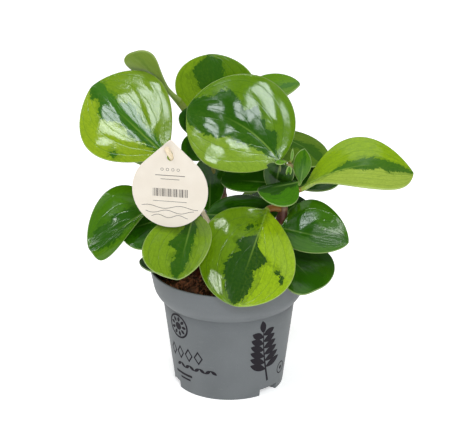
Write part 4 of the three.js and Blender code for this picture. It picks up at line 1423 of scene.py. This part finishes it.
sprig = [ribbon([sprig_at(h) for h in np.linspace(0, 44, 23)], np.linspace(0.9, 0.4, 23))]
for k, h in enumerate(np.linspace(13, 42, 6)):
    x, y = sprig_at(h)
    sprig += [leaf_mark(x, y, 24, 15 - 0.9 * k, 2.9), leaf_mark(x, y - 2, 156, 15 - 0.9 * k, 2.9)]
sprig.append(leaf_mark(*sprig_at(44), 100, 11, 2.6))
sprig += [ring_strip(20, 17.5, 5.2, 0.9), ring_strip(20, 17.5, 1.6, 1.6)]
ink_strips("pot_print_sprig", sprig, on_wall(37), pot_ink, "pot", POT_SKIN)

BADGE = (-11.5, 57)
drops = [lozenge(-21 + 9 * k, 34, 4, 6, 1.3) for k in range(4)]
chain = [leaf_mark(-17.5 + 4.7 * k, 21.5 + 3.5 * (k % 2), 35 - 70 * (k % 2), 6, 1.3) for k in range(8)]
foot_row = [bar(-11, 15.2, 19, 2.0, 10), bar(-9, 11.6, 11, 1.6, 7)]
badge = [ring_strip(*BADGE, 10.3, 1.5), ring_strip(*BADGE, 3.2, 3.2)]
badge += [leaf_mark(x, y, math.degrees(a), 4.4, 1.3)
          for a, (x, y) in zip(full_turn(9), arc(*BADGE, 3.9, 0, math.tau, 10))]
ink_strips("pot_print_badge", drops + chain + foot_row + badge, on_wall(-38), pot_ink, "pot", POT_SKIN)
print("pot prints:", len(sprig), "and", len(drops + chain + foot_row + badge), "strips")

# %% [markdown]
# The picture is a bright product shot: a white sweep, soft light from all round, and three small
# bright lights that show as white patches on the waxy leaves, whose highlights were worked out for
# them. The camera is the one that the model was measured with.

# %% Camera
CAMERA = dict(pitch=22.5, focus=2299, picture=450, sensor=36)
camera = in_scene("camera", bpy.data.cameras.new("camera"))
camera.data.sensor_width = CAMERA["sensor"]
camera.data.lens = CAMERA["focus"] / CAMERA["picture"] * CAMERA["sensor"]
camera.location = Vector(EYE) * MM
camera.rotation_euler = (math.radians(90 - CAMERA["pitch"]), 0, 0)
bpy.context.scene.camera = camera
print("lens:", round(camera.data.lens, 1), "mm")

# %% Floor and light
WHITE = (1, 1, 1, 1)
sweep, tree, shader = new_material("white_sweep", roughness=0.9, specular=0.1)
join(mixed(cloud(on_object(tree), 6), (246, 246, 246), (250, 250, 250)), shader["Base Color"])
shader["Emission Color"].default_value = WHITE
shader["Emission Strength"].default_value = 0.55
floor = mesh_object("floor", [(-5000, -5000, 0), (5000, -5000, 0), (5000, 5000, 0), (-5000, 5000, 0)],
                    [(0, 1, 2, 3)], smooth=False)
dress(floor, sweep)

world = bpy.data.worlds.new("studio")
world.use_nodes = True
sky = world.node_tree.nodes["Background"].inputs
sky["Color"].default_value = WHITE
sky["Strength"].default_value = 0.2
bpy.context.scene.world = world
bpy.context.scene.view_settings.view_transform = "Standard"
MIDDLE = Vector((0, 0, 0.16))


def softbox(name, way, distance, wide, high, radiance, colour=(1, 1, 1)):
    """An area light, in a direction as seen from the plant, of an even radiance."""
    way = Vector(way).normalized()
    data = bpy.data.lights.new(name, "AREA")
    data.shape, data.size, data.size_y = "RECTANGLE", wide, high
    data.energy = radiance * math.pi * wide * high
    data.color = colour
    made = in_scene(name, data)
    made.location = MIDDLE + way * distance
    made.rotation_euler = way.to_track_quat("Z", "Y").to_euler()


def mirrored_way(name):
    return Vector(MIRRORED[name]) * MM - MIDDLE


softbox("window_light", mirrored_way("window"), 2.6, 0.5, 0.5, 26, (0.9, 0.95, 1))
softbox("front_light", mirrored_way("front"), 2.2, 0.22, 0.22, 36)
softbox("left_light", mirrored_way("left"), 2.2, 0.25, 0.5, 16)
softbox("overhead", (-0.2, 0.3, 1), 1.8, 1.6, 1.2, 1.2)
softbox("left", (-0.548, -0.384, 0.743), 2.2, 1.3, 1.3, 1.4)
softbox("right", (0.548, -0.384, 0.743), 2.2, 1.3, 1.3, 1.4)
print("lights:", ", ".join(light.name for light in bpy.data.lights))
